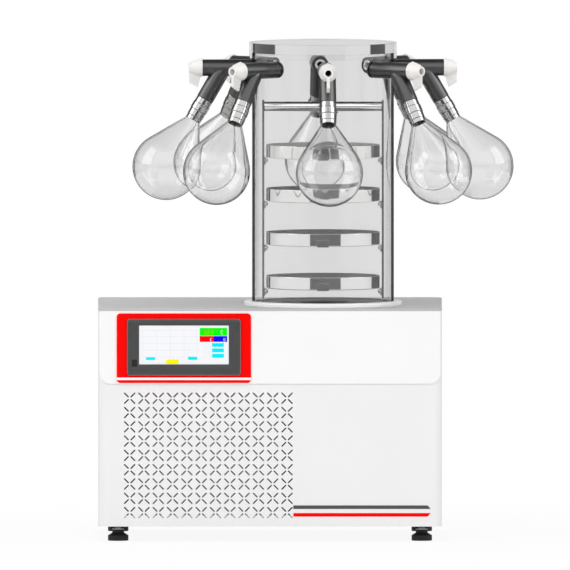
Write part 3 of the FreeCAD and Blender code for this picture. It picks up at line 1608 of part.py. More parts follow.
def make_power_inlet():
    """Mains inlet with a switch frame over it, snapped through the rear panel."""
    body = new_body("power_inlet")
    frame = sketch_on(body, "power_inlet_frame", "XZ_Plane", f"-(({BACK}) + power_proud)")
    box_outline(
        frame,
        f"({POWER_X}) - power_wide / 2",
        f"({POWER_Z}) - power_tall / 2",
        f"({POWER_X}) + power_wide / 2",
        f"({POWER_Z}) + power_tall / 2",
        "power_proud",
    )
    pad(body, "power_inlet_flange", frame, "power_proud")
    block_sketch = sketch_on(body, "power_inlet_block", "XZ_Plane", f"-({BACK})")
    box_outline(
        block_sketch,
        f"({POWER_X}) - power_wide / 2 + power_proud",
        f"({POWER_Z}) - power_tall / 2 + power_proud",
        f"({POWER_X}) + power_wide / 2 - power_proud",
        f"({POWER_Z}) + power_tall / 2 - power_proud",
    )
    pad(body, "power_inlet_housing", block_sketch, "power_deep")
    recess = sketch_on(body, "power_inlet_recess", "XZ_Plane", f"-(({BACK}) + power_proud)")
    outline(
        recess,
        [
            (f"({POWER_X}) - inlet_wide / 2", f"({INLET_Z}) - inlet_tall / 2"),
            (f"({POWER_X}) + inlet_wide / 2", f"({INLET_Z}) - inlet_tall / 2"),
            (f"({POWER_X}) + inlet_wide / 2", f"({INLET_Z}) + inlet_tall / 4"),
            (f"({POWER_X}) + inlet_wide / 3", f"({INLET_Z}) + inlet_tall / 2"),
            (f"({POWER_X}) - inlet_wide / 3", f"({INLET_Z}) + inlet_tall / 2"),
            (f"({POWER_X}) - inlet_wide / 2", f"({INLET_Z}) + inlet_tall / 4"),
        ],
    )
    pocket(body, "power_inlet_socket", recess, "inlet_deep", reverse=True)
    blades = sketch_on(
        body, "power_inlet_blades", "XZ_Plane", f"-(({BACK}) + power_proud - inlet_deep)"
    )
    for across, up in (("-pin_across", "-pin_low"), ("pin_across", "-pin_low"), ("0", "pin_high")):
        box_outline(
            blades,
            f"({POWER_X}) + {across} - pin_half_wide",
            f"({INLET_Z}) + {up} - pin_half_tall",
            f"({POWER_X}) + {across} + pin_half_wide",
            f"({INLET_Z}) + {up} + pin_half_tall",
        )
    pad(body, "power_inlet_pins", blades, "inlet_deep - pin_short", reverse=True)
    mouth = sketch_on(body, "power_inlet_mouth", "XZ_Plane", f"-(({BACK}) + power_proud)")
    box_outline(
        mouth,
        f"({POWER_X}) - rocker_wide / 2",
        f"({ROCKER_Z}) - rocker_tall / 2",
        f"({POWER_X}) + rocker_wide / 2",
        f"({ROCKER_Z}) + rocker_tall / 2",
    )
    pocket(body, "power_inlet_switch_seat", mouth, "rocker_tall", reverse=True)
    pivot = sketch_on(body, "power_inlet_pivot", "YZ_Plane", POWER_X)
    circle(pivot, ROCKER_Y, ROCKER_Z, "rocker_pin / 2 + shaft_fit")
    pocket(body, "power_inlet_pivot_holes", pivot, "rocker_wide + 4", midplane=True)
    return body


def make_power_rocker():
    """Rocker of the mains switch; it turns about X on its own pins."""
    body = new_body("power_rocker")
    shape = sketch_on(body, "power_rocker_shape", "YZ_Plane")
    half = "(rocker_tall / 2 - rocker_gap)"
    outline(
        shape,
        [
            (f"-{half} * 0.6", f"-{half} * 0.78"),
            (f"{half} * 0.73", f"-{half} * 0.66"),
            (f"{half} * 0.5", "0"),
            (f"{half} * 0.73", f"{half} * 0.66"),
            (f"-{half} * 0.6", f"{half} * 0.78"),
        ],
    )
    pad(body, "power_rocker_key", shape, "rocker_wide - 2 * rocker_gap", midplane=True)
    pins = sketch_on(body, "power_rocker_pins", "YZ_Plane")
    circle(pins, "0", "0", "rocker_pin / 2")
    pad(body, "power_rocker_axle", pins, "rocker_wide + 3", midplane=True)
    place(body, POWER_X, ROCKER_Y, ROCKER_Z, roll="rocker_throw / 2")
    return body


# ---- build, check and write ----------------------------------------------------------

def build_all():
    keep(make_base_pan(), make_wrap_panel(), make_rear_panel(), make_top_cover(), make_fascia())
    keep(make_hmi_surround(), make_hmi_bezel(), make_hmi_screen())
    keep(make_stripe("stripe_dark", "stripe_upper", True))
    keep(make_stripe("stripe_red", "stripe_lower", False))
    for number, (x, y) in enumerate(FOOT_PLACES, start=1):
        keep(make_foot(number, x, y))
    keep(make_foot_fittings())
    keep(*make_trap_wall(), make_trap_floor(), *make_trap_insulation())
    keep(make_base_ring(), make_baffle_plate(), make_drum(), make_drum_lid())
    keep(make_rack_side("rack_left", "-"), make_rack_side("rack_right", ""), make_rack_handle())
    for number in range(1, TRAY_COUNT + 1):
        keep(make_tray(number))
    valves = range(1, VALVE_COUNT + 1)
    keep(grouped("valve_bodies", [make_valve_body(number) for number in valves]))
    for number in valves:
        keep(make_valve_plug(number), make_flask(number))
    keep(make_flask_couplings())
    keep(make_condenser(), make_fan_shroud(), make_fan_rotor(), make_compressor())
    keep(make_vacuum_port(), make_drain_valve(), make_drain_lever())
    keep(make_power_inlet(), make_power_rocker())


def faults():
    """Plain words for every object that failed and every piece that is not sound."""
    found = []
    for item in doc.Objects:
        if "Invalid" in item.State or "Error" in item.State:
            found.append(f"{item.Label} failed to build: {item.State}")
    for item in made:
        if item.Shape.isNull():
            found.append(f"{item.Label} is empty")
        elif not item.Shape.isValid() or not item.Shape.Solids:
            found.append(f"{item.Label} is not a sound solid")
    return found


build_all()
doc.recompute()
problems = faults()
if problems:
    raise RuntimeError("; ".join(problems))

os.makedirs("parts", exist_ok=True)
for item in made:
    item.Shape.exportStep(f"parts/{item.Label}.step")
print(f"{len(made)} pieces written")
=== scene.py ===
"""Looks of an upright-drum freeze dryer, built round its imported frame.

The frame gives every piece its place: the cabinet, the cold trap's drum with its rack
of trays, the ring of flask valves and the services at the back. This script finishes
the frame's own pieces, and replaces the turned, blown and pressed ones with surfaces
that are worked out as arrays.
"""

from __future__ import annotations

import json
import logging
import math
from dataclasses import dataclass, field, replace
from enum import Enum
from typing import Iterable, Sequence, Union

import bmesh
import bpy
import numpy as np
from mathutils import Matrix, Vector

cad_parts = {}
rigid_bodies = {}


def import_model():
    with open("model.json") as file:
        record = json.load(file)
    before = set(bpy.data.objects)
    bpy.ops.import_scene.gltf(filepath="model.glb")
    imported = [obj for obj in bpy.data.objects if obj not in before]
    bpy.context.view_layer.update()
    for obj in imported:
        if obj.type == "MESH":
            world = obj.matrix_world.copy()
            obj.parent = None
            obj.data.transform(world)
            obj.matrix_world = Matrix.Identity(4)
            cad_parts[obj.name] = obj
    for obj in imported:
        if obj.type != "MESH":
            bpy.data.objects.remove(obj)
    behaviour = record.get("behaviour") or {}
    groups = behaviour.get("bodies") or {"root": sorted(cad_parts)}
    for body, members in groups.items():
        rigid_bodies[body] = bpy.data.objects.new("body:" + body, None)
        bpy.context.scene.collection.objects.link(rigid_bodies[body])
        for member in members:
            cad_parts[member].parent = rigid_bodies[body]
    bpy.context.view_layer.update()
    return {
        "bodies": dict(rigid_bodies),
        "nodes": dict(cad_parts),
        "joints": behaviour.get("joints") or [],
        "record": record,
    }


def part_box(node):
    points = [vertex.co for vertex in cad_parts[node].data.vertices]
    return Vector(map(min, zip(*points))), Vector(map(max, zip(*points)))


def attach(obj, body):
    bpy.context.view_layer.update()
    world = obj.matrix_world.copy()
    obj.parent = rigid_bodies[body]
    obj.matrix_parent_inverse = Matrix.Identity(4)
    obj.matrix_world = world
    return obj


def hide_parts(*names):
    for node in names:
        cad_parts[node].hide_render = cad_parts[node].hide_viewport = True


log = logging.getLogger("freeze_dryer")

MM = 0.001
TURN = 2.0 * math.pi

Colour = tuple[float, float, float]
Operand = Union["Value", float, Sequence[float]]

WHITE: Colour = (1.0, 1.0, 1.0)
CLOUD_MIDDLE = 0.5  # value that a soft noise has half of the time
CLOUD_SOFT = 0.4  # width over which a finish goes from its deep to its full colour

FINE_TURN = 160  # steps round the chamber's pieces and the trays
FLOOR_TURN = 96
COUPLING_TURN = 72
BEAD_TURN = 32
PIN_TURN = 24
ON_AXIS = 1e-9  # radius under which a profile's end is a pole
MERGED = 1e-6  # metres within which points become one
MOST_OF_SIDE = 0.49  # share of a side that one corner's arc may take
GUARD_SHARE = 0.2  # a guard point's distance past its arc, by the arc's radius
RIM_STEPS = 3
RIM_GUARD = 1.3  # distance of a rim's guard rows, by the rim's radius

ORIGIN = (0.0, 0.0, 0.0)
STILL = np.eye(3)


# ---- shader arithmetic ---------------------------------------------------------------


class Value:
    """An output socket that takes part in Python arithmetic."""

    def __init__(self, graph: "Graph", socket: bpy.types.NodeSocket) -> None:
        """Wrap a socket of a graph."""
        self.graph = graph
        self.socket = socket

    def __add__(self, other: Operand) -> "Value":
        """Sum."""
        return self.graph.maths("ADD", self, other)

    def __sub__(self, other: Operand) -> "Value":
        """Difference."""
        return self.graph.maths("SUBTRACT", self, other)

    def __rsub__(self, other: Operand) -> "Value":
        """Difference, from a number."""
        return self.graph.maths("SUBTRACT", other, self)

    def __mul__(self, other: Operand) -> "Value":
        """Product."""
        return self.graph.maths("MULTIPLY", self, other)

    def __truediv__(self, other: Operand) -> "Value":
        """Quotient."""
        return self.graph.maths("DIVIDE", self, other)

    def __rtruediv__(self, other: Operand) -> "Value":
        """Quotient, of a number."""
        return self.graph.maths("DIVIDE", other, self)

    __radd__ = __add__
    __rmul__ = __mul__

    def size(self) -> "Value":
        """Value without its sign."""
        return self.graph.maths("ABSOLUTE", self, 0.0)

    def toward(self, other: Operand, share: Operand) -> "Value":
        """Value that goes to another one as the share goes from 0 to 1."""
        return self + (other - self) * share

    def clipped(self) -> "Value":
        """Value held between 0 and 1."""
        return self.graph.maths("MINIMUM", self.graph.maths("MAXIMUM", self, 0.0), 1.0)

    def over(self, edge: float, soft: float) -> "Value":
        """Mask that rises from 0 to 1 over a width 'soft' centred on 'edge'."""
        return ((self - edge) / soft + 0.5).clipped()

    def between(self, low: float, high: float, soft: float) -> "Value":
        """Mask that is 1 from 'low' to 'high', with edges of a width 'soft'."""
        return self.over(low, soft) * (1.0 - self.over(high, soft))


class Graph:
    """The nodes of one material, with its surface shader."""

    def __init__(self, tree: bpy.types.NodeTree) -> None:
        """Empty the tree and keep it."""
        self.tree = tree
        tree.nodes.clear()

    def node(
        self,
        kind: str,
        settings: dict[str, object] | None = None,
        inputs: dict[str | int, Operand] | None = None,
    ) -> bpy.types.Node:
        """Add a node.

        Args:
            kind: node type.
            settings: the node's own properties, which are set first.
            inputs: a number, a sequence or a Value for each socket, by name or index.

        Returns:
            The node.
        """
        made = self.tree.nodes.new(kind)
        for name, setting in (settings or {}).items():
            setattr(made, name, setting)
        for key, given in (inputs or {}).items():
            socket = made.inputs[key]
            if isinstance(given, Value):
                self.tree.links.new(given.socket, socket)
            elif isinstance(given, (int, float)) or len(given) == len(socket.default_value):
                socket.default_value = given
            else:
                socket.default_value = (*given, 1.0)
        return made

    def maths(self, operation: str, first: Operand, second: Operand) -> Value:
        """Math node on two values."""
        made = self.node("ShaderNodeMath", {"operation": operation}, {0: first, 1: second})
        return Value(self, made.outputs[0])

    def blend(self, low: Operand, high: Operand, factor: Operand) -> Value:
        """Colour that goes from low to high as the factor goes from 0 to 1."""
        made = self.node("ShaderNodeMix", {"data_type": "RGBA"}, {0: factor, 6: low, 7: high})
        return Value(self, made.outputs[2])

    def scaled(self, vector: Operand, scale: Sequence[float]) -> Value:
        """Vector times a scale along each axis."""
        made = self.node(
            "ShaderNodeVectorMath", {"operation": "MULTIPLY"}, {0: vector, 1: scale}
        )
        return Value(self, made.outputs[0])

    def place(self) -> Value:
        """Position on the piece, in metres."""
        return Value(self, self.node("ShaderNodeTexCoord").outputs["Object"])

    def parts(self, vector: Value) -> tuple[Value, Value, Value]:
        """The three numbers of a vector."""
        made = self.node("ShaderNodeSeparateXYZ", None, {0: vector})
        return tuple(Value(self, socket) for socket in made.outputs)

    def reach(self, place: Value, axis: Sequence[float]) -> Value:
        """Distance from an upright axis.

        Args:
            place: position, in metres.
            axis: X and Y of the axis, in metres.

        Returns:
            The distance, in metres.
        """
        across, along, _ = self.parts(place)
        across, along = across - axis[0], along - axis[1]
        return self.maths("POWER", across * across + along * along, 0.5)

    def noise(self, vector: Operand, scale: float, detail: float = 2.0) -> Value:
        """Soft noise between 0 and 1, 'scale' grains to the metre."""
        made = self.node(
            "ShaderNodeTexNoise", None, {"Vector": vector, "Scale": scale, "Detail": detail}
        )
        return Value(self, made.outputs[0])

    def bump(self, height: Value, depth: float) -> Value:
        """Normal that follows a height of 0 to 1, 'depth' metres high."""
        made = self.node(
            "ShaderNodeBump", None, {"Strength": 1.0, "Distance": depth, "Height": height}
        )
        return Value(self, made.outputs[0])

    def output(
        self,
        under: bpy.types.Node,
        over: bpy.types.Node | None = None,
        mask: Operand = 0.0,
    ) -> None:
        """Join a shader to the material's output.

        Args:
            under: the shader.
            over: another shader, which covers it where the mask is 1.
            mask: share of the other shader.
        """
        if over:
            mix = self.node("ShaderNodeMixShader", None, {0: mask})
            self.tree.links.new(under.outputs[0], mix.inputs[1])
            self.tree.links.new(over.outputs[0], mix.inputs[2])
            under = mix
        end = self.node("ShaderNodeOutputMaterial")
        self.tree.links.new(under.outputs[0], end.inputs[0])

    def surface(
        self, inputs: dict[str | int, Operand], painted_shade_and_sheen: tuple[Value, Colour] | None = None
    ) -> None:
        """Join a Principled shader to the output.

        Args:
            inputs: the shader's inputs.
            painted_shade_and_sheen: a mask, and the colour of painted shade and sheen, a flat layer
                that covers the shader where the mask is 1.
        """
        shader = self.node("ShaderNodeBsdfPrincipled", None, inputs)
        if not painted_shade_and_sheen:
            self.output(shader)
            return
        mask, colour = painted_shade_and_sheen
        self.output(shader, self.node("ShaderNodeBsdfDiffuse", None, {0: colour}), mask)


# ---- finishes ------------------------------------------------------------------------


@dataclass(frozen=True)
class Finish:
    """A plain finish: one colour with a fine mottle, a grain and an uneven gloss.

    Colour goes between 'colour' and 'colour' times 'shade' by a soft noise; roughness
    goes up and down by 'spread' with it; a second, finer noise makes the bump.
    """

    slot: str
    colour: Colour
    roughness: float
    metallic: float = 0.0
    shade: float = 0.94
    mottle: float = 18.0
    spread: float = 0.05
    grain: float = 1500.0
    depth: float = 0.0
    specular: float = 0.5
    stretch: tuple[float, float, float] = (1.0, 1.0, 1.0)

    def extras(self) -> dict[str | int, Operand]:
        """Further constant inputs of the shader."""
        return {"Specular IOR Level": self.specular}

    def body(self, graph: Graph, cloud: Value) -> Value:
        """Base colour, which follows a soft noise."""
        deep = tuple(part * self.shade for part in self.colour)
        return graph.blend(deep, self.colour, cloud.over(CLOUD_MIDDLE, CLOUD_SOFT))

    def painted_shade_and_sheen(self, graph: Graph) -> tuple[Value, Colour] | None:
        """Mask and colour of a flat layer of painted shade and sheen, where the finish has one."""
        return None

    def dress(self, graph: Graph) -> None:
        """Build the finish.

        Args:
            graph: the material's empty graph.
        """
        place = graph.scaled(graph.place(), self.stretch)
        cloud = graph.noise(place, self.mottle, 3.0)
        inputs: dict[str | int, Operand] = {
            "Base Color": self.body(graph, cloud),
            "Roughness": (cloud - CLOUD_MIDDLE) * (2.0 * self.spread) + self.roughness,
            "Metallic": self.metallic,
        }
        if self.depth:
            inputs["Normal"] = graph.bump(graph.noise(place, self.grain), self.depth)
        inputs.update(self.extras())
        graph.surface(inputs, self.painted_shade_and_sheen(graph))


@dataclass(frozen=True)
class TrayFinish(Finish):
    """Bright steel outside a wall round an upright axis, and painted shade inside it: a dull grey
    layer that darkens the well.
    """

    axis: tuple[float, float] = (0.0, 0.0)
    wall_radius: float = 0.1
    wall_soft: float = 3e-4
    # painted shade in the well: its dull grey and its share
    well: Colour = (0.2, 0.2, 0.2)
    well_painted_shade_share: float = 0.85

    def painted_shade_and_sheen(self, graph: Graph) -> tuple[Value, Colour] | None:
        """Painted shade in the well: a dull grey layer as far as the middle of the wall."""
        outside = graph.reach(graph.place(), self.axis).over(self.wall_radius, self.wall_soft)
        return (1.0 - outside) * self.well_painted_shade_share, self.well


@dataclass(frozen=True)
class FootFinish(Finish):
    """Black moulding up to a height, and the zinc-plated stud above it."""

    stud: Colour = (0.6, 0.6, 0.6)
    shoulder: float = 0.0202
    shoulder_soft: float = 2e-4

    def body(self, graph: Graph, cloud: Value) -> Value:
        """Base colour, which changes at the shoulder."""
        _, _, up = graph.parts(graph.place())
        above = up.over(self.shoulder, self.shoulder_soft)
        return graph.blend(super().body(graph, cloud), self.stud, above)


@dataclass(frozen=True)
class PaintedEdgeFinish(Finish):
    """Surface with a colour painted where it is seen edge-on: painted shade where that
    colour is dark, a painted sheen where it is pale.

    That painted colour starts past a distance from an upright axis.
    """

    # colour painted edge-on: dark for painted shade, pale for a painted sheen
    edge: Colour = (0.1, 0.1, 0.1)
    painted_edge_start: float = 0.72
    painted_edge_soft: float = 0.1
    painted_edge_share: float = 0.8
    axis: tuple[float, float] = (0.0, 0.0)
    painted_edge_from: float = 0.0
    painted_edge_from_soft: float = 5e-4

    def painted_shade_and_sheen(self, graph: Graph) -> tuple[Value, Colour] | None:
        """Painted layer where the surface turns away from the eye: shade where its colour is dark,
        a sheen where it is pale.

        Args:
            graph: the material's graph.

        Returns:
            The layer's mask and its colour.
        """
        weight = graph.node("ShaderNodeLayerWeight", None, {"Blend": 0.5})
        rim = Value(graph, weight.outputs["Facing"]).over(self.painted_edge_start, self.painted_edge_soft)
        if self.painted_edge_from:
            reach = graph.reach(graph.place(), self.axis)
            rim = rim * reach.over(self.painted_edge_from, self.painted_edge_from_soft)
        return rim * self.painted_edge_share, self.edge


@dataclass(frozen=True)
class ClearFinish(PaintedEdgeFinish):
    """Clear glass or acrylic with a faint waviness, and painted shade: a dark outline where it is
    seen edge-on.
    """

    index: float = 1.49

    def extras(self) -> dict[str | int, Operand]:
        """Further constant inputs of the shader."""
        return {"IOR": self.index, "Transmission Weight": 1.0}


class Wardrobe:
    """Makes each finish's material once and puts it on pieces."""

    def __init__(self) -> None:
        """Start empty."""
        self.materials: dict[Finish, bpy.types.Material] = {}

    def material(self, finish: Finish) -> bpy.types.Material:
        """The finish's material, made the first time it is asked for.

        Args:
            finish: the finish.

        Returns:
            Its material.
        """
        if finish not in self.materials:
            made = bpy.data.materials.new(f"finish_{finish.slot}_{len(self.materials)}")
            made.use_nodes = True
            finish.dress(Graph(made.node_tree))
            self.materials[finish] = made
        return self.materials[finish]

    def put_on(self, piece: bpy.types.Object, finish: Finish) -> None:
        """Give a piece this finish alone."""
        piece.data.materials.clear()
        piece.data.materials.append(self.material(finish))


# ---- surfaces worked out as arrays ---------------------------------------------------


@dataclass
class Skin:
    """Points and faces of a surface."""

    points: np.ndarray
    faces: list[tuple[int, ...]]

    def moved(self, turn: np.ndarray, shift: Sequence[float]) -> "Skin":
        """The skin turned by a 3 by 3 matrix and then shifted."""
        return Skin(self.points @ np.asarray(turn).T + np.asarray(shift), self.faces)


def joined(skins: Iterable[Skin]) -> Skin:
    """One skin of several, which keep their own points.

    Args:
        skins: the skins.

    Returns:
        All their points and faces.
    """
    points: list[np.ndarray] = []
    faces: list[tuple[int, ...]] = []
    count = 0
    for skin in skins:
        points.append(skin.points)
        faces.extend(tuple(corner + count for corner in face) for face in skin.faces)
        count += len(skin.points)
    return Skin(np.concatenate(points), faces)


def grid_faces(rows: int, columns: int, ring: bool = False) -> list[tuple[int, ...]]:
    """Quads between neighbouring rows of points, where each row closes on itself.

    Args:
        rows: number of rows.
        columns: points in a row; point (row, column) has the index row * columns + column.
        ring: whether the last row joins the first.

    Returns:
        The four indices of each quad.
    """
    low_row, low_column = np.meshgrid(
        np.arange(rows if ring else rows - 1), np.arange(columns), indexing="ij"
    )
    high_row, high_column = (low_row + 1) % rows, (low_column + 1) % columns
    corners = (
        (low_row, low_column),
        (low_row, high_column),
        (high_row, high_column),
        (high_row, low_column),
    )
    quads = np.stack([row * columns + column for row, column in corners], axis=-1)
    return [tuple(quad) for quad in quads.reshape(-1, 4).tolist()]


def circles(rings: np.ndarray, angle: np.ndarray) -> np.ndarray:
    """Points (r cos a, r sin a, z) of each ring (r, z) at each angle a.

    Args:
        rings: (r, z) pairs.
        angle: the angles, in radians.

    Returns:
        The points, ring after ring.
    """
    radius, height = rings[:, :1], rings[:, 1:]
    up = np.repeat(height, len(angle), axis=1)
    return np.stack([radius * np.cos(angle), radius * np.sin(angle), up], axis=-1).reshape(-1, 3)


def lathe(profile: np.ndarray, segments: int = 96, closed: bool = False) -> Skin:
    """Surface of a profile turned about the Z axis.

    A profile point (r, z) becomes the circle (r cos a, r sin a, z). The profile runs so
    that the outside is on its right, going up. An end on the axis becomes one pole.

    Args:
        profile: (r, z) pairs.
        segments: steps round the axis.
        closed: whether the last point joins the first, as in a ring or a tube.

    Returns:
        The surface.
    """
    on_axis = profile[:, 0] < ON_AXIS
    rings = profile[~on_axis]
    points = circles(rings, np.arange(segments) * (TURN / segments))
    faces = grid_faces(len(rings), segments, closed)
    after = np.roll(np.arange(segments), -1)
    if on_axis[0]:
        pole = len(points)
        points = np.vstack([points, [0.0, 0.0, profile[0, 1]]])
        faces += [(pole, int(b), int(a)) for a, b in zip(range(segments), after)]
    if on_axis[-1]:
        pole = len(points)
        points = np.vstack([points, [0.0, 0.0, profile[-1, 1]]])
        last = (len(rings) - 1) * segments
        faces += [(pole, last + a, last + int(b)) for a, b in zip(range(segments), after)]
    return Skin(points, faces)


def rounded(
    corners: Sequence[Sequence[float]], closed: bool = False, steps: int = 6
) -> np.ndarray:
    """Outline through corners, each radius as an arc.

    The arc touches both sides at the radius over the tangent of half the corner's angle
    from the corner, and its points turn about the centre that they share. A guard point
    just outside each end keeps the flat beside the arc flat when shaded.

    Args:
        corners: (x, y) or (x, y, radius) of each corner.
        closed: whether the last corner joins the first.
        steps: steps along each arc.

    Returns:
        The outline's (x, y) points.
    """
    spots = np.array([corner[:2] for corner in corners], float)
    radii = np.array([corner[2] if len(corner) > 2 else 0.0 for corner in corners])
    count = len(spots)
    outline: list[np.ndarray] = []
    for at in range(count):
        inner = closed or 0 < at < count - 1
        if radii[at] <= 0 or not inner:
            outline.append(spots[at][None])
            continue
        back = spots[at - 1] - spots[at]
        ahead = spots[(at + 1) % count] - spots[at]
        back_length, ahead_length = np.linalg.norm(back), np.linalg.norm(ahead)
        back, ahead = back / back_length, ahead / ahead_length
        half = math.acos(float(np.clip(back @ ahead, -1.0, 1.0))) / 2.0
        reach = min(
            radii[at] / math.tan(half), MOST_OF_SIDE * back_length, MOST_OF_SIDE * ahead_length
        )
        radius = reach * math.tan(half)
        inward = (back + ahead) / np.linalg.norm(back + ahead)
        middle = spots[at] + inward * (radius / math.sin(half))
        start = spots[at] + back * reach - middle
        end = spots[at] + ahead * reach - middle
        sweep = math.atan2(start[0] * end[1] - start[1] * end[0], start @ end)
        turn = np.linspace(0.0, sweep, steps + 1)
        cosine, sine = np.cos(turn), np.sin(turn)
        arc = np.stack(
            [start[0] * cosine - start[1] * sine, start[0] * sine + start[1] * cosine], 1
        )
        guards = [
            spots[at] + way * (reach + min(GUARD_SHARE * radius, 0.5 * (0.5 * length - reach)))
            for way, length in ((back, back_length), (ahead, ahead_length))
        ]
        outline += [guards[0][None], middle + arc, guards[1][None]]
    return np.concatenate(outline)


def lofted(rows: Sequence[tuple[np.ndarray, float]], ring: bool = False) -> Skin:
    """Surface through outlines of one count in X and Y, each at its own Z.

    Args:
        rows: (outline, height) pairs.
        ring: whether the last row joins the first; else both get a flat cap.

    Returns:
        The surface.
    """
    points = [np.column_stack([edge, np.full(len(edge), height)]) for edge, height in rows]
    count = len(rows[0][0])
    faces = grid_faces(len(rows), count, ring)
    if not ring:
        last = (len(rows) - 1) * count
        faces += [tuple(range(count))[::-1], tuple(range(last, last + count))]
    return Skin(np.concatenate(points), faces)


def slab(outline: np.ndarray, low: float, high: float) -> Skin:
    """Flat piece: an outline in X and Y, counter-clockwise, from Z low to Z high."""
    return lofted([(outline, low), (outline, high)])


def oblong(low: Sequence[float], high: Sequence[float], radius: float = 0.0) -> np.ndarray:
    """Outline of a rectangle between two corners, counter-clockwise, with round corners."""
    corners = [(low[0], low[1]), (high[0], low[1]), (high[0], high[1]), (low[0], high[1])]
    return rounded([(*corner, radius) for corner in corners], closed=True)


def pillow_slab(outline: np.ndarray, low: float, high: float, edge: float) -> Skin:
    """Flat piece whose upper rim is rounded inward as a quarter circle.

    Args:
        outline: the piece's outline in X and Y, counter-clockwise.
        low: Z of its underside.
        high: Z of its top.
        edge: radius of the rim.

    Returns:
        The surface.
    """
    turn = np.linspace(0.0, math.pi / 2, RIM_STEPS + 1)
    levels = [(low, 0.0), (high - RIM_GUARD * edge, 0.0)]
    levels += [(high - edge + edge * math.sin(t), edge * (1 - math.cos(t))) for t in turn]
    levels += [(high, RIM_GUARD * edge)]
    middle = (outline.min(axis=0) + outline.max(axis=0)) / 2.0
    rows = []
    for height, inset in levels:
        shrink = np.maximum(1 - inset / np.maximum(np.abs(outline - middle), edge), 0)
        rows.append((middle + (outline - middle) * shrink, height))
    return lofted(rows)


def facing_front(skin: Skin) -> Skin:
    """Skin drawn with X right, Y up and Z toward the viewer, stood up to face -Y."""
    stood = np.array([[1.0, 0.0, 0.0], [0.0, 0.0, -1.0], [0.0, 1.0, 0.0]])
    return skin.moved(stood, ORIGIN)


def turn_about_z(angle: float) -> np.ndarray:
    """Matrix of a turn about Z."""
    return np.array(Matrix.Rotation(angle, 3, "Z"))


def turn_about_y(angle: float) -> np.ndarray:
    """Matrix of a turn about Y."""
    return np.array(Matrix.Rotation(angle, 3, "Y"))


# ---- the workshop: pieces, places and finishes ---------------------------------------


def tone(code: str) -> Colour:
    """Linear colour of a six-figure hexadecimal one.

    Each part c of 0 to 1 becomes c / 12.92 up to 0.04045, else ((c + 0.055) / 1.055) ** 2.4.
    """
    parts = [int(code[at : at + 2], 16) / 255.0 for at in (0, 2, 4)]
    return tuple(c / 12.92 if c <= 0.04045 else ((c + 0.055) / 1.055) ** 2.4 for c in parts)


def placed(name: str, content: bpy.types.ID) -> bpy.types.Object:
    """Object that holds a mesh, a lamp or a camera, linked to the scene.

    Args:
        name: the object's name.
        content: what it holds.

    Returns:
        The object.
    """
    made = bpy.data.objects.new(name, content)
    bpy.context.scene.collection.objects.link(made)
    return made


class Bench:
    """Puts skins and finishes together into pieces that ride on the frame's bodies."""

    def __init__(self, frame: dict) -> None:
        """Keep the loaded frame."""
        self.nodes = frame["nodes"]
        self.wardrobe = Wardrobe()

    def box(self, node: str) -> tuple[np.ndarray, np.ndarray]:
        """Lowest and highest corner of a node, in millimetres."""
        low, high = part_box(node)
        return np.array(low) / MM, np.array(high) / MM

    def middle(self, node: str) -> np.ndarray:
        """Middle of a node's box, in millimetres."""
        low, high = self.box(node)
        return (low + high) / 2.0

    def radius(self, node: str) -> float:
        """Half the width of a node's box, in millimetres."""
        low, high = self.box(node)
        return (high[0] - low[0]) / 2.0

    def dress(self, finishes: dict[str, Finish]) -> None:
        """Give the frame's own nodes their finishes."""
        for node, finish in finishes.items():
            self.wardrobe.put_on(self.nodes[node], finish)
            log.info("%s: %s", node, finish.slot)

    def piece(
        self,
        name: str,
        skin: Skin,
        finish: Finish,
        stands_for: Sequence[str] = (),
        body: str = "dryer",
        crease: float = 32.0,
    ) -> bpy.types.Object:
        """Make a piece of a skin in millimetres.

        Args:
            name: the piece's name.
            skin: its surface, where each shell is closed.
            finish: its finish.
            stands_for: the nodes that it stands for.
            body: the body that it moves with.
            crease: angle in degrees past which an edge stays sharp.

        Returns:
            The object.
        """
        mesh = bpy.data.meshes.new(name)
        mesh.from_pydata((skin.points * MM).tolist(), [], skin.faces)
        form = bmesh.new()
        form.from_mesh(mesh)
        bmesh.ops.remove_doubles(form, verts=form.verts, dist=MERGED)
        bmesh.ops.recalc_face_normals(form, faces=form.faces)
        form.to_mesh(mesh)
        form.free()
        mesh.shade_smooth()
        mesh.set_sharp_from_angle(angle=math.radians(crease))
        made = placed(name, mesh)
        self.wardrobe.put_on(made, finish)
        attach(made, body)
        if stands_for:
            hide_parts(*stands_for)
        log.info("%s: %d faces, %s", name, len(mesh.polygons), finish.slot)
        return made


class Side(Enum):
    """Which side of the axis a paired piece is on."""

    LEFT = -1
    RIGHT = 1


# ---- finishes of the freeze dryer ----------------------------------------------------

CABINET_WHITE = Finish(
    "cabinet_white", tone("f0f0f0"), 0.42, specular=0.3, shade=0.975, mottle=7.0, grain=900,
    depth=3e-5,
)
FASCIA_WHITE = Finish(
    "fascia_white", tone("f7f7f7"), 0.36, specular=0.3, shade=0.985, mottle=7.0, grain=900,
    depth=2e-5,
)
COVER_GREY = Finish(
    "cover_grey", tone("c0c0c1"), 0.40, specular=0.3, shade=0.95, mottle=9.0, grain=900,
    depth=3e-5,
)
PAN_STEEL = Finish(
    "pan_steel", tone("b9bab8"), 0.38, metallic=0.85, shade=0.88, mottle=22.0, grain=260,
    depth=2e-5,
)
TRIM_RED = Finish(
    "trim_red", tone("fb0301"), 0.38, specular=0.06, shade=0.96, mottle=14.0, grain=1200,
    depth=1e-5,
)
TRIM_DARK = Finish(
    "trim_dark", tone("55534f"), 0.40, specular=0.15, shade=0.93, mottle=14.0, grain=1200,
    depth=1e-5,
)
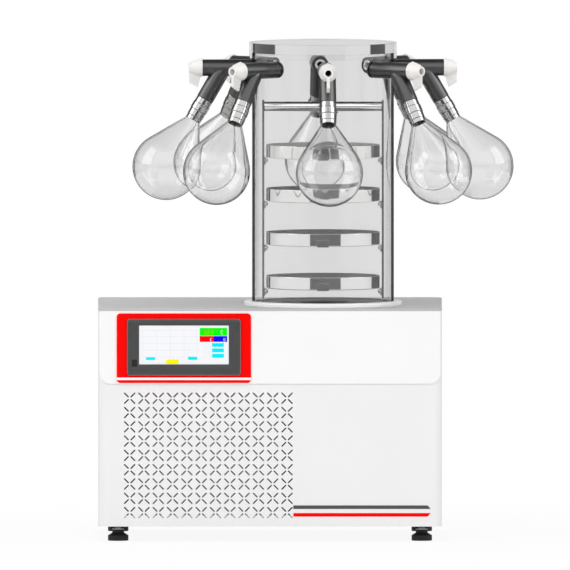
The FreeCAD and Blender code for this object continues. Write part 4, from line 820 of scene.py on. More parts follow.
# pale edge colour: a painted sheen on the bezel's rounded rims
BEZEL_GREY = PaintedEdgeFinish(
    "bezel_grey", tone("404140"), 0.34, specular=0.45, shade=0.90, mottle=30.0, grain=2600,
    depth=4e-5, edge=tone("bcbcbc"), painted_edge_start=0.45, painted_edge_soft=0.3, painted_edge_share=0.6,
)
FOOT_BLACK = FootFinish(
    "foot_black", tone("202020"), 0.55, specular=0.2, shade=0.80, mottle=40.0, grain=1800,
    depth=8e-5, stud=tone("f0f0ee"),
)
FITTING_BLACK = Finish(
    "foot_black", tone("1b1b1b"), 0.50, specular=0.2, shade=0.85, mottle=60.0, grain=1200,
    depth=5e-5,
)
POT_STEEL = Finish(
    "pot_steel", tone("c4c4c2"), 0.26, metallic=1.0, shade=0.90, mottle=30.0, grain=300,
    depth=2e-5, stretch=(1.0, 1.0, 12.0),
)
FOAM_BLACK = Finish(
    "foam_black", tone("24231f"), 0.92, specular=0.1, shade=0.60, mottle=160.0, grain=420,
    depth=6e-4,
)
RING_WHITE = Finish(
    "ring_white", tone("fafaf9"), 0.34, shade=0.97, mottle=24.0, grain=1500, depth=2e-5,
)
BAFFLE_DARK = Finish(
    "baffle_dark", tone("b4b4b4"), 0.50, metallic=0.2, specular=0.1, shade=0.85, mottle=30.0,
    grain=700, depth=2e-5,
)
RACK_STEEL = Finish(
    "rack_steel", tone("d6d6d5"), 0.07, metallic=1.0, shade=0.92, mottle=30.0, grain=240,
    depth=8e-6, stretch=(8.0, 8.0, 1.0),
)
# well colour: painted shade, a dull grey layer that darkens the inside of each tray
TRAY_STEEL = TrayFinish(
    "tray_steel", tone("e8e8e7"), 0.05, metallic=0.92, shade=0.97, mottle=26.0, spread=0.02,
    grain=90, depth=3e-6, well=tone("b4b4b4"),
)
VALVE_RUBBER = Finish(
    "valve_rubber", tone("202020"), 0.33, specular=0.9, shade=0.86, mottle=50.0, grain=1500,
    depth=4e-6,
)
# steel of the hooks, brighter than the rack's own: the extra brightness is a painted highlight that
# makes them read white
HOOK_HIGHLIGHT_STEEL = Finish(
    "rack_steel", tone("fafafa"), 0.12, metallic=1.0, shade=0.96, mottle=60.0, grain=900,
    depth=1e-5,
)
# dark grey of the coupling's seal rings and sleeve, partly painted: it stands in for the chrome's
# dark reflection lines and the shade in the coupling's open end
SEAL_SHADE_BLACK = Finish(
    "valve_rubber", tone("4c4c4c"), 0.40, specular=0.5, shade=0.85, mottle=60.0, grain=2200,
    depth=2e-5,
)
PLUG_WHITE = Finish(
    "plug_white", tone("efedea"), 0.38, shade=0.965, mottle=60.0, grain=1800, depth=2e-5,
)
COUPLING_CHROME = Finish(
    "coupling_chrome", tone("a4a4a3"), 0.07, metallic=1.0, shade=0.93, mottle=90.0,
    spread=0.03, grain=500, depth=6e-6,
)
FIN_ALUMINIUM = Finish(
    "fin_aluminium", tone("b8a898"), 0.50, metallic=0.15, shade=0.80, mottle=120.0, grain=900,
    depth=4e-5,
)
SHROUD_STEEL = Finish(
    "shroud_steel", tone("9b9c9b"), 0.42, metallic=0.8, shade=0.85, mottle=26.0, grain=300,
    depth=3e-5,
)
FAN_BLACK = Finish(
    "fan_black", tone("1d1d1e"), 0.46, specular=0.3, shade=0.85, mottle=50.0, grain=1800,
    depth=4e-5,
)
COMPRESSOR_BLACK = Finish(
    "compressor_black", tone("1a1a1b"), 0.38, shade=0.80, mottle=30.0, grain=700, depth=9e-5,
)
PORT_STEEL = Finish(
    "port_steel", tone("c8c8c6"), 0.24, metallic=1.0, shade=0.90, mottle=60.0, grain=600,
    depth=1e-5,
)
VALVE_BRASS = Finish(
    "valve_brass", tone("c8a35a"), 0.30, metallic=1.0, shade=0.84, mottle=90.0, grain=900,
    depth=2e-5,
)
LEVER_RED = Finish(
    "lever_red", tone("c2110c"), 0.42, shade=0.90, mottle=60.0, grain=1600, depth=3e-5,
)
INLET_BLACK = Finish(
    "inlet_black", tone("1c1c1c"), 0.50, specular=0.3, shade=0.85, mottle=60.0, grain=2200,
    depth=5e-5,
)
# dark edge colour: painted shade, a dark outline where the drum's outer wall is seen edge-on
CLEAR_ACRYLIC = ClearFinish(
    "clear_acrylic", tone("fcfcfc"), 0.0, shade=0.99, mottle=5.0, spread=0.0, grain=9.0,
    depth=1e-6, index=1.2, edge=tone("202020"), painted_edge_start=0.722, painted_edge_soft=0.015,
    painted_edge_share=0.93, painted_edge_from=0.1242,
)
# grey edge colour: painted shade where the lid is seen edge-on
LID_ACRYLIC = ClearFinish(
    "clear_acrylic", tone("fafafa"), 0.0, shade=0.99, mottle=5.0, spread=0.0, grain=9.0,
    depth=1e-6, edge=tone("a0a0a0"), painted_edge_start=0.985, painted_edge_soft=0.01, painted_edge_share=0.2,
)
# dark edge colour: painted shade, a dark outline where the flask is seen edge-on
FLASK_GLASS = ClearFinish(
    "flask_glass", tone("fdfdfd"), 0.0, shade=0.99, mottle=12.0, spread=0.0, grain=22.0,
    depth=6e-7, index=1.36, edge=tone("0c0c0c"), painted_edge_start=0.78, painted_edge_soft=0.015,
    painted_edge_share=0.9,
)
SCREEN_WHITE = Finish(
    "screen_white", tone("f6f7fb"), 0.12, specular=0.3, shade=0.985, mottle=30.0,
)
MARK_WHITE = Finish("screen_white", tone("fbfbfb"), 0.30, specular=0.3, shade=0.985, mottle=40.0)
DISPLAY_INKS: dict[str, Finish] = {
    name: Finish("screen_white", tone(code), 0.15, specular=0.15, shade=0.97, mottle=60.0)
    for name, code in {
        "green": "05fd03",
        "red": "fa0202",
        "blue": "0404fc",
        "cyan": "03ecfb",
        "yellow": "fdf603",
        "digits": "9cdc04",
        "white": "f4f6fa",
        "rule": "e2e4ee",
    }.items()
}
WINDOW_DARK = Finish(
    "bezel_grey", tone("2b2b2b"), 0.18, specular=0.4, shade=0.90, mottle=90.0, grain=1500,
    depth=1e-5,
)


# ---- cabinet -------------------------------------------------------------------------


@dataclass
class Cabinet:
    """Sheet-metal case with its cover, fascia, stripes, pan and levelling feet."""

    bench: Bench
    finishes: dict[str, Finish] = field(
        default_factory=lambda: {
            "wrap_panel": CABINET_WHITE,
            "rear_panel": CABINET_WHITE,
            "base_pan": PAN_STEEL,
            "top_cover": COVER_GREY,
            "fascia": FASCIA_WHITE,
            "stripe_dark": TRIM_DARK,
            "stripe_red": TRIM_RED,
            "foot_fittings": FITTING_BLACK,
            **{f"foot_{n}": FOOT_BLACK for n in range(1, 5)},
        }
    )

    def build(self) -> None:
        """Dress the case."""
        self.bench.dress(self.finishes)


# ---- operator panel ------------------------------------------------------------------


@dataclass(frozen=True)
class DisplayField:
    """Lit rectangle of the display, in millimetres right of and below its upper left."""

    ink: str
    left: float
    top: float
    right: float
    low: float
    lift: float = 0.12


FIELDS = (
    DisplayField("green", 108.4, 4.1, 157.5, 18.3),
    DisplayField("red", 108.4, 18.8, 133.5, 29.2),
    DisplayField("blue", 133.5, 18.8, 157.5, 29.2),
    *(DisplayField("cyan", 130.4, top, 151.6, top + 7.0) for top in (31.2, 40.9, 50.5)),
    *(DisplayField("rule", 115.7, top, 127.8, top + 7.0, 0.08) for top in (31.2, 40.9, 50.5)),
    *(DisplayField("white", 116.1, top + 0.4, 127.4, top + 6.6) for top in (31.2, 40.9, 50.5)),
    DisplayField("cyan", 12.4, 56.5, 28.7, 61.7),
    DisplayField("cyan", 87.5, 55.7, 104.1, 61.5),
    DisplayField("yellow", 48.0, 60.9, 70.7, 68.7),
    *(DisplayField("rule", x, 8.5, x + 0.5, 56.3, 0.08) for x in (6.2, 31.5, 55.8, 80.0, 103.3)),
    *(DisplayField("rule", 6.2, y, 103.8, y + 0.5, 0.08) for y in (8.5, 19.6, 31.8, 43.9, 56.3)),
)


class Segment(Enum):
    """Strokes of a seven-stroke character, as (left, top, right, low) in strokes' widths."""

    TOP = (0.0, 0.0, 4.0, 1.0)
    UPPER_LEFT = (0.0, 0.0, 1.0, 3.5)
    UPPER_RIGHT = (3.0, 0.0, 4.0, 3.5)
    MIDDLE = (0.0, 3.0, 4.0, 4.0)
    LOWER_LEFT = (0.0, 3.5, 1.0, 7.0)
    LOWER_RIGHT = (3.0, 3.5, 4.0, 7.0)
    LOW = (0.0, 6.0, 4.0, 7.0)
    POINT = (0.0, 6.0, 1.0, 7.0)


STROKES: dict[str, tuple[Segment, ...]] = {
    "2": (Segment.TOP, Segment.UPPER_RIGHT, Segment.MIDDLE, Segment.LOWER_LEFT, Segment.LOW),
    "5": (Segment.TOP, Segment.UPPER_LEFT, Segment.MIDDLE, Segment.LOWER_RIGHT, Segment.LOW),
    "0": tuple(stroke for stroke in Segment if stroke not in (Segment.MIDDLE, Segment.POINT)),
    "C": (Segment.TOP, Segment.UPPER_LEFT, Segment.LOWER_LEFT, Segment.LOW),
    ".": (Segment.POINT,),
}


@dataclass(frozen=True)
class Caption:
    """Seven-stroke text on the display, placed as a field is by its upper left corner."""

    ink: str
    text: str
    left: float
    top: float
    stroke: float


CAPTIONS = (
    Caption("digits", "25.0", 115.7, 8.2, 1.05),
    Caption("white", "C", 146.0, 9.0, 0.9),
    Caption("white", "C", 127.0, 22.5, 0.8),
    Caption("white", "0", 151.0, 22.5, 0.8),
)


@dataclass
class OperatorPanel:
    """Red surround with its white line, dark bezel and the touch screen with its fields."""

    bench: Bench
    corner: float = 4.6
    nose: float = 3.4
    inner_nose: float = 0.9
    nose_steps: int = 4
    least_corner: float = 0.5
    opening_corner: float = 1.0
    line_low: float = 5.3
    line_high: float = 9.6
    line_sunk: float = 0.3
    line_lift: float = 0.2
    sunk: float = 0.2
    window_lift: float = 1.25
    word_lift: float = 0.2
    character_step: float = 5.2
    point_step: float = 2.0
    window: tuple[float, float, float, float] = (-13.2, 61.0, -3.8, 73.6)
    finishes: dict[str, Finish] = field(
        default_factory=lambda: {"hmi_surround": TRIM_RED, "hmi_screen": SCREEN_WHITE}
    )

    def framed(self, node: str, grow: float, corner: float) -> np.ndarray:
        """Outline round a node's box in X and Z.

        Args:
            node: the node.
            grow: how far the outline stands off the box, outward.
            corner: radius of its corners.

        Returns:
            The outline's points.
        """
        low, high = self.bench.box(node)
        return oblong(
            (low[0] - grow, low[2] - grow), (high[0] + grow, high[2] + grow), corner
        )

    def bezel(self) -> Skin:
        """Bezel, whose section is a closed loop of outlines.

        From the surround it goes up the outside, round the nose as a quarter circle, in
        to the opening, round its small nose and back down beside the screen.

        Returns:
            The surface.
        """
        low, high = self.bench.box("hmi_bezel")
        foot, face = -high[1], -low[1]
        turn = np.linspace(0.0, math.pi / 2.0, self.nose_steps + 1)
        nose = [(self.nose * (1 - math.cos(t)), face - self.nose * (1 - math.sin(t))) for t in turn]
        outer = [
            (self.framed("hmi_bezel", -inset, max(self.corner - inset, self.least_corner)), height)
            for inset, height in [(0.0, foot), *nose]
        ]
        small = self.inner_nose
        lip = [(small * (1 - math.sin(t)), face - small * (1 - math.cos(t))) for t in turn]
        inner = [
            (self.framed("hmi_screen", grow, self.opening_corner + grow), height)
            for grow, height in [*lip, (0.0, foot)]
        ]
        return facing_front(lofted([*outer, *inner], ring=True))

    def patch(self, left: float, top: float, right: float, low: float, lift: float) -> Skin:
        """Thin plate on the screen, measured from the screen's upper left corner.

        Args:
            left: distance of its left side.
            top: distance of its upper side, down.
            right: distance of its right side.
            low: distance of its lower side, down.
            lift: how far its face stands off the screen.

        Returns:
            The surface.
        """
        screen_low, screen_high = self.bench.box("hmi_screen")
        x, z, face = screen_low[0], screen_high[2], -screen_low[1]
        outline = oblong((x + left, z - low), (x + right, z - top))
        return facing_front(slab(outline, face - self.sunk, face + lift))

    def word(self, caption: Caption) -> list[Skin]:
        """The strokes of a caption.

        Args:
            caption: the caption.

        Returns:
            A thin plate for each stroke.
        """
        skins: list[Skin] = []
        left, stroke = caption.left, caption.stroke
        for character in caption.text:
            for segment in STROKES[character]:
                x0, y0, x1, y1 = (stroke * edge for edge in segment.value)
                high, low = caption.top + y0, caption.top + y1
                skins.append(self.patch(left + x0, high, left + x1, low, self.word_lift))
            left += stroke * (self.point_step if character == "." else self.character_step)
        return skins

    def build(self) -> None:
        """Build and dress the panel."""
        bench = self.bench
        bench.dress(self.finishes)
        bench.piece("bezel_frame", self.bezel(), BEZEL_GREY, ["hmi_bezel"])
        low, high = bench.box("hmi_surround")
        line = oblong((low[0], low[2] + self.line_low), (high[0], low[2] + self.line_high))
        plate = slab(line, -low[1] - self.line_sunk, -low[1] + self.line_lift)
        bench.piece("white_line", facing_front(plate), MARK_WHITE)
        bench.piece("sensor_window", self.patch(*self.window, self.window_lift), WINDOW_DARK)
        for ink, finish in DISPLAY_INKS.items():
            fields = [area for area in FIELDS if area.ink == ink]
            skins = [self.patch(a.left, a.top, a.right, a.low, a.lift) for a in fields]
            for caption in CAPTIONS:
                if caption.ink == ink:
                    skins += self.word(caption)
            bench.piece(f"display_{ink}", joined(skins), finish)


# ---- cold trap and drying chamber ----------------------------------------------------


@dataclass
class DryingChamber:
    """Acrylic drum with its lid on the base ring, and the cold trap below."""

    bench: Bench
    wall: float = 5.0
    hole_radius: float = 12.05
    hole_rise: float = 424.5
    sectors: int = 8
    first_yaw: float = 2.35 - 90.0
    patch_drop: float = 62.0
    lid_gap: float = 0.3
    lid_round: float = 0.4
    drum_clear: float = 0.3
    plate_clear: float = 0.4
    ring_foot_round: float = 0.6
    ring_round: float = 4.6
    seat_round: float = 0.8
    side_steps: int = 14
    sector_rows: int = 9
    low_rows: int = 7
    crowding: float = 1.4
    finishes: dict[str, Finish] = field(
        default_factory=lambda: {
            **{f"trap_{part}": POT_STEEL for part in ("wall", "port_wall", "floor")},
            "foam_jacket": FOAM_BLACK,
            "foam_base": FOAM_BLACK,
            "baffle_plate": BAFFLE_DARK,
        }
    )

    def rim_of_patch(self, half: float, low: float, high: float) -> np.ndarray:
        """Points round a rectangle, the same number on each side.

        Args:
            half: half of its width, about 0.
            low: height of its lower side.
            high: height of its upper side.

        Returns:
            (across, up) pairs, counter-clockwise from the lower left corner.
        """
        across = np.linspace(-half, half, self.side_steps + 1)[:-1]
        share = np.linspace(0.0, 1.0, self.side_steps + 1)[:-1]
        sides = (
            (across, low),
            (half, low + (high - low) * share),
            (-across, high),
            (-half, high + (low - high) * share),
        )
        return np.concatenate([np.column_stack(np.broadcast_arrays(*side)) for side in sides])

    def pierced_sector(self, radius: float, high: float, yaw: float) -> Skin:
        """One sector of a pierced tube wall, from the patch's foot to the top.

        A hole's rim is y = h cos p, z = hole_z + h sin p, and a wall point (y, z) of the
        flat patch goes to the cylinder at the angle y / R. Between the rim of the hole
        and the patch's edge a point is (1 - t) rim + t edge with t = s ** crowding.

        Args:
            radius: R, the wall's radius.
            high: height of its top.
            yaw: angle of the hole, in radians.

        Returns:
            The surface, with the hole's rim as its first row.
        """
        half = math.pi / self.sectors * radius
        edge = self.rim_of_patch(half, self.hole_z - self.patch_drop, high)
        aim = np.arctan2(edge[:, 1] - self.hole_z, edge[:, 0])
        rim = np.column_stack(
            [
                radius * np.arcsin(self.hole_radius * np.cos(aim) / radius),
                self.hole_z + self.hole_radius * np.sin(aim),
            ]
        )
        share = (np.linspace(0.0, 1.0, self.sector_rows) ** self.crowding)[:, None, None]
        flat = (rim * (1.0 - share) + edge * share).reshape(-1, 2)
        angle = flat[:, 0] / radius + yaw
        points = np.column_stack([radius * np.cos(angle), radius * np.sin(angle), flat[:, 1]])
        return Skin(points, grid_faces(self.sector_rows, len(edge)))

    def drum(self) -> Skin:
        """Pierced tube: two walls, the rims of the holes and the two end rings.

        Returns:
            The surface, about the drum's axis.
        """
        low, high = self.bench.box("drum")
        outer = self.bench.radius("drum")
        inner = outer - self.wall
        foot = self.hole_z - self.patch_drop
        first = math.radians(self.first_yaw)
        count = self.side_steps * self.sectors
        around = np.arange(count) * (TURN / count) + first - math.pi / self.sectors
        skins: list[Skin] = []
        levels = np.linspace(low[2], foot, self.low_rows)
        for radius in (outer, inner):
            rings = np.column_stack([np.full(self.low_rows, radius), levels])
            skins.append(Skin(circles(rings, around), grid_faces(self.low_rows, count)))
        for level in (low[2], high[2]):
            rings = np.array([(outer, level), (inner, level)])
            skins.append(Skin(circles(rings, around), grid_faces(2, count)))
        for number in range(self.sectors):
            yaw = first + number * TURN / self.sectors
            walls = [self.pierced_sector(radius, high[2], yaw) for radius in (outer, inner)]
            skins.extend(walls)
            rim = len(walls[0].points) // self.sector_rows
            # both rims are sampled at the angles of their own patch's edge points
            sleeve = np.concatenate([wall.points[:rim] for wall in walls])
            skins.append(Skin(sleeve, grid_faces(2, rim)))
        return joined(skins)

    @property
    def hole_z(self) -> float:
        """Height of the valves' axes."""
        return float(self.bench.box("top_cover")[1][2]) + self.hole_rise

    def lid(self) -> Skin:
        """Thick clear disc that lies on the drum's edge, with a short skirt round it.

        Returns:
            The surface, about the drum's axis.
        """
        low, high = self.bench.box("drum_lid")
        outer = self.bench.radius("drum_lid")
        inner = self.bench.radius("drum") + self.lid_gap
        roof = self.bench.box("drum")[1][2] + self.lid_gap
        profile = [
            (0.0, roof),
            (inner, roof),
            (inner, low[2]),
            (outer, low[2], self.lid_round / 2.0),
            (outer, high[2], self.lid_round),
            (0.0, high[2]),
        ]
        return lathe(rounded(profile), FINE_TURN)

    def base_ring(self) -> Skin:
        """White ring with a soft outer edge and a seat for the drum.

        Returns:
            The surface, about the drum's axis.
        """
        low, high = self.bench.box("base_ring")
        floor = self.bench.box("drum")[0][2]
        outer = self.bench.radius("base_ring")
        seat = self.bench.radius("drum") + self.drum_clear
        inner = self.bench.radius("baffle_plate") + self.plate_clear
        corners = [
            (inner, low[2]),
            (outer, low[2], self.ring_foot_round),
            (outer, high[2], self.ring_round),
            (seat, high[2], self.seat_round),
            (seat, floor),
            (inner, floor),
        ]
        return lathe(rounded(corners, closed=True), FINE_TURN, closed=True)

    def build(self) -> None:
        """Build and dress the chamber."""
        bench = self.bench
        bench.dress(self.finishes)
        centre = (*bench.middle("drum")[:2], 0.0)
        acrylic = replace(CLEAR_ACRYLIC, axis=(centre[0] * MM, centre[1] * MM))
        bench.piece("drum_wall", self.drum().moved(STILL, centre), acrylic, ["drum"])
        bench.piece("lid_disc", self.lid().moved(STILL, centre), LID_ACRYLIC, ["drum_lid"])
        bench.piece("seat_ring", self.base_ring().moved(STILL, centre), RING_WHITE, ["base_ring"])


# ---- rack and trays ------------------------------------------------------------------


@dataclass
class TrayRack:
    """Steel rack, two strips with hooks and a handle, and its four pressed trays."""

    bench: Bench
    trays: int = 4
    wall: float = 1.0
    corner: float = 1.6
    tab_wide: float = 21.5
    tab_tall: float = 13.4
    tab_drop: float = 1.2
    tab_thick: float = 1.5
    tab_corner: float = 1.2
    tab_edge: float = 0.15
    rim_share: float = 0.45
    handle_round: float = 0.8
    strip_thick: float = 3.4
    hook_spots: tuple[float, ...] = (-9.0, 9.0)
    hook_wide: float = 6.0
    hook_long: float = 6.6
    hook_tall: float = 15.0
    hook_edge: float = 0.8
    hook_shape: tuple[tuple[float, float, float], ...] = (
        (0.0, 1.0, 0.2),
        (0.12, 1.0, 0.3),
        (0.35, 0.72, 1.2),
        (0.95, 0.66, 1.6),
        (1.0, 0.34, 1.6),
        (0.50, 0.22, 0.8),
        (0.95, 0.0, 0.3),
        (0.0, 0.0, 0.2),
    )
    bead_radius: float = 3.0
    bead_round: float = 2.2
    bead_proud: float = 0.4
    bead_out: float = 0.6
    bead_down: float = 0.48

    def tray(self, number: int) -> Skin:
        """Pressed tray with a rounded rim and corner, and a pull tab at the front.

        Args:
            number: which tray, from 1 on.

        Returns:
            The surface.
        """
        low, high = self.bench.box(f"tray_{number}")
        centre = self.bench.middle("drum")
        radius, wall = self.bench.radius(f"tray_{number}"), self.wall
        rim = wall * self.rim_share
        corners = [
            (0.0, low[2]),
            (radius, low[2], self.corner),
            (radius, high[2], rim),
            (radius - wall, high[2], rim),
            (radius - wall, low[2] + wall, self.corner - wall),
            (0.0, low[2] + wall),
        ]
        dish = lathe(rounded(corners), FINE_TURN)
        half, foot = self.tab_wide / 2.0, low[2] - self.tab_drop
        outline = oblong((-half, foot), (half, foot + self.tab_tall), self.tab_corner)
        front = centre[1] - low[1]
        tab = pillow_slab(outline, front - self.tab_thick, front, self.tab_edge)
        return joined([dish, facing_front(tab)]).moved(STILL, (centre[0], centre[1], 0.0))

    def hook(self) -> np.ndarray:
        """Outline of a hook, out along X from the strip and down from the tray's floor.

        Returns:
            The outline's points.
        """
        long, tall = self.hook_long, self.hook_tall
        shape = [(out * long, -down * tall, turn) for out, down, turn in self.hook_shape]
        return rounded(shape, closed=True)

    def strip(self, side: Side) -> tuple[Skin, Skin]:
        """One strip of the rack, and its pairs of hooks under the trays.

        Args:
            side: which strip.

        Returns:
            The surface of the strip, and that of its hooks.
        """
        node = f"rack_{side.name.lower()}"
        low, high = self.bench.box(node)
        out = side.value
        wall = high[0] if out > 0 else low[0]
        face = wall - out * self.strip_thick
        edges = sorted((wall, face))
        strip = slab(oblong((edges[0], low[1]), (edges[1], high[1])), low[2], high[2])
        outline = self.hook() * np.array([-out, 1.0])
        half = self.hook_wide / 2.0
        reach, thick, turn = half + self.bead_proud, self.bead_radius, self.bead_round
        section = [(0.0, -reach), (thick, -reach, turn), (thick, reach, turn), (0.0, reach)]
        spot = (-out * self.bead_out * self.hook_long, 0.0, -self.bead_down * self.hook_tall)
        bead = facing_front(lathe(rounded(section), BEAD_TURN)).moved(STILL, spot)
        bar = joined([facing_front(pillow_slab(outline, -half, half, self.hook_edge)), bead])
        middle = self.bench.middle(node)[1]
        hooks = []
        for number in range(1, self.trays + 1):
            floor = self.bench.box(f"tray_{number}")[0][2] + self.tab_drop
            for along in self.hook_spots:
                hooks.append(bar.moved(STILL, (face, middle + along, floor)))
        return strip, joined(hooks)

    def handle(self) -> Skin:
        """Round bar along X between the two strips.

        Returns:
            The surface.
        """
        low, high = self.bench.box("rack_handle")
        half, radius = self.bench.radius("rack_handle"), (high[2] - low[2]) / 2.0
        turn = self.handle_round
        bar = [(0.0, -half), (radius, -half, turn), (radius, half, turn), (0.0, half)]
        middle = self.bench.middle("rack_handle")
        return lathe(rounded(bar)).moved(turn_about_y(math.pi / 2.0), middle)

    def build(self) -> None:
        """Build and dress the rack and the trays."""
        self.bench.piece("handle_bar", self.handle(), RACK_STEEL, ["rack_handle"])
        for side in Side:
            name = side.name.lower()
            strip, hooks = self.strip(side)
            self.bench.piece(f"strip_{name}", strip, RACK_STEEL, [f"rack_{name}"])
            self.bench.piece(f"hooks_{name}", hooks, HOOK_HIGHLIGHT_STEEL)
        centre = self.bench.middle("drum")
        finish = replace(
            TRAY_STEEL,
            axis=(centre[0] * MM, centre[1] * MM),
            wall_radius=(self.bench.radius("tray_1") - self.wall / 2.0) * MM,
        )
        for number in range(1, self.trays + 1):
            self.bench.piece(f"dish_{number}", self.tray(number), finish, [f"tray_{number}"])


# ---- flask valves, couplings and flasks ----------------------------------------------


@dataclass
class FlaskPort:
    """One of the eight ports: a rubber valve, its plug, a chrome coupling and a flask.

    A port's own axes have X out along the valve, and the branch leaves X at 'reach',
    'tilt' degrees from straight down and outward. Turned by the port's yaw about the
    drum's axis, they give its place. A row of 'coupling_steps' is a radius, a drop below
    the branch's end and a rounding; one of 'seal_rings' is two radii and two drops.
    """

    bench: Bench
    number: int
    axis_z: float
    first_yaw: float = DryingChamber.first_yaw
    step: float = 360.0 / DryingChamber.sectors
    reach: float = 179.0
    tilt: float = 30.0
    branch_long: float = 65.0
    branch_radius: float = 15.4
    rubber_radius: float = 15.0
    rubber_bore: float = 9.6
    rubber_end: float = 216.0
    groove_radius: float = 12.0
    groove_clear: float = 0.1
    rubber_rounds: tuple[float, float, float] = (1.6, 0.6, 1.0)
    branch_end_round: float = 0.8
    branch_taper: float = 1.2
    shoulder_drop: float = 12.0
    shoulder_round: float = 8.0
    drum_wall: float = DryingChamber.wall
    lip: float = 4.0
    coupling_long: float = 40.0
    coupling_bore: float = 8.5
    coupling_steps: tuple[tuple[float, float, float], ...] = (
        (15.0, 0.0, 0.8),
        (15.2, 10.4, 0.6),
        (16.0, 11.2, 0.6),
        (16.0, 22.6, 0.8),
        (15.2, 24.0, 0.6),
        (15.0, 34.6, 0.6),
        (14.4, 36.0, 0.6),
    )
    socket_radius: float = 12.6
    socket_deep: float = 17.0
    lip_drop: float = 3.0
    lip_radius: float = 14.2
    lip_round: float = 0.8
    seal_rings: tuple[tuple[float, float, float, float], ...] = (
        (14.0, 15.5, 10.0, 10.9),
        (14.0, 15.6, 23.4, 24.2),
        (13.4, 14.9, 35.2, 36.0),
    )
    seal_round: float = 0.2
    sleeve_clear: float = 0.1
    sleeve_radius: float = 12.5
    sleeve_drop: float = 17.3
    sleeve_short: float = 0.4
    neck_radius: float = 11.8
    neck_in: float = 23.0
    ball_radius: float = 60.0
    ball_centre: float = 204.0
    cone: float = 30.0
    glass: float = 2.0
    ball_points: int = 36
    neck_blend: float = 26.0
    fire_polish: float = 0.9
    pin_radius: float = 2.2
    pin_long: float = 4.6
    pin_drop: float = 15.0
    pin_round: float = 0.9
    pin_root: float = 14.0

    @property
    def yaw(self) -> float:
        """Turn of the port about the drum's axis, in radians."""
        return math.radians(self.first_yaw + (self.number - 1) * self.step)

    def on_branch(self, skin: Skin) -> Skin:
        """Move a skin, made upright with the branch going down its -Z, to its place.

        Args:
            skin: the skin.

        Returns:
            The skin in its place.
        """
        centre = self.bench.middle("drum")
        turn = turn_about_z(self.yaw)
        root = np.array([centre[0], centre[1], self.axis_z])
        shift = turn @ np.array([self.reach, 0.0, 0.0]) + root
        return skin.moved(turn @ turn_about_y(-math.radians(self.tilt)), shift)

    def on_axis(self, skin: Skin) -> Skin:
        """Move a skin, made upright round the valve's own axis, to its place.

        Args:
            skin: the skin.

        Returns:
            The skin in its place.
        """
        centre = self.bench.middle("drum")
        turn = turn_about_z(self.yaw) @ turn_about_y(math.pi / 2.0)
        return skin.moved(turn, (centre[0], centre[1], self.axis_z))

    def rubber(self) -> Skin:
        """Rubber tube with a groove for the drum's wall, and the branch out of it.

        Returns:
            The surface.
        """
        outer = self.bench.radius("drum")
        inner = outer - self.drum_wall
        inside, outside = inner - self.groove_clear, outer + self.groove_clear
        lip_round, groove_round, end_round = self.rubber_rounds
        tube = [
            (self.rubber_bore, inner - self.lip),
            (self.rubber_radius, inner - self.lip, lip_round),
            (self.rubber_radius, inside, groove_round),
            (self.groove_radius, inside),
            (self.groove_radius, outside),
            (self.rubber_radius, outside, groove_round),
            (self.rubber_radius, self.rubber_end, end_round),
            (self.rubber_bore, self.rubber_end),
        ]
        full, foot = self.branch_radius, -self.branch_long
        branch = [
            (0.0, foot),
            (full, foot, self.branch_end_round),
            (full, -self.shoulder_drop, self.shoulder_round),
            (full - self.branch_taper, 0.0),
            (0.0, 0.0),
        ]
        return joined(
            [
                self.on_axis(lathe(rounded(tube, closed=True), closed=True)),
                self.on_branch(lathe(rounded(branch))),
            ]
        )

    def flask_outline(self, inset: float, top: float) -> list[tuple[float, ...]]:
        """Wall of a flask from the pole up: an arc, a cone that meets it, and the neck.

        The cone touches the ball at the angle of the cone above the ball's middle and
        meets the neck's cylinder where the two radii agree.

        Args:
            inset: how far the wall lies inside the flask's outer face.
            top: height of the neck's end.

        Returns:
            (radius, height) or (radius, height, rounding) of each corner.
        """
        ball, neck = self.ball_radius - inset, self.neck_radius - inset
        slope = math.radians(self.cone)
        angles = np.linspace(-math.pi / 2.0, slope, self.ball_points)
        arc = [(ball * math.cos(a), -self.ball_centre + ball * math.sin(a)) for a in angles]
        edge_r, edge_z = arc[-1]
        meet = edge_z + (edge_r - neck) / math.tan(slope)
        arc[0] = (0.0, arc[0][1])
        return [*arc, (neck, meet, self.neck_blend), (neck, top, self.fire_polish)]

    def flask(self) -> Skin:
        """Blown flask with an even wall and a fire-polished lip.

        Returns:
            The surface.
        """
        top = -(self.branch_long + self.coupling_long) + self.neck_in
        outer, inner = (self.flask_outline(inset, top) for inset in (0.0, self.glass))
        return lathe(rounded([*outer, *inner[::-1]], steps=8))

    def coupling(self) -> Skin:
        """Turned coupling with a raised middle band and a lip below.

        Returns:
            The surface.
        """
        top = -self.branch_long
        end, seat = top - self.coupling_long - self.lip_drop, top - self.socket_deep
        corners = [
            (self.coupling_bore, top),
            *((radius, top - drop, turn) for radius, drop, turn in self.coupling_steps),
            (self.lip_radius, end, self.lip_round),
            (self.socket_radius, end, self.lip_round / 2.0),
            (self.socket_radius, seat),
            (self.coupling_bore, seat),
        ]
        return lathe(rounded(corners, closed=True, steps=4), COUPLING_TURN, closed=True)

    def seals(self) -> Skin:
        """Dark rings in the coupling's grooves and the sleeve that grips the neck, partly painted:
        they stand in for the chrome's dark reflection lines and the shade in its open end.

        Returns:
            The surface.
        """
        top = -self.branch_long
        sleeve = (
            self.neck_radius + self.sleeve_clear,
            self.sleeve_radius,
            self.sleeve_drop,
            self.coupling_long + self.lip_drop - self.sleeve_short,
        )
        skins = []
        for inner, outer, start, end in (*self.seal_rings, sleeve):
            high, low = top - start, top - end
            turn = self.seal_round
            section = [(inner, low), (outer, low, turn), (outer, high, turn), (inner, high)]
            profile = rounded(section, closed=True, steps=2)
            skins.append(lathe(profile, COUPLING_TURN, closed=True))
        return joined(skins)

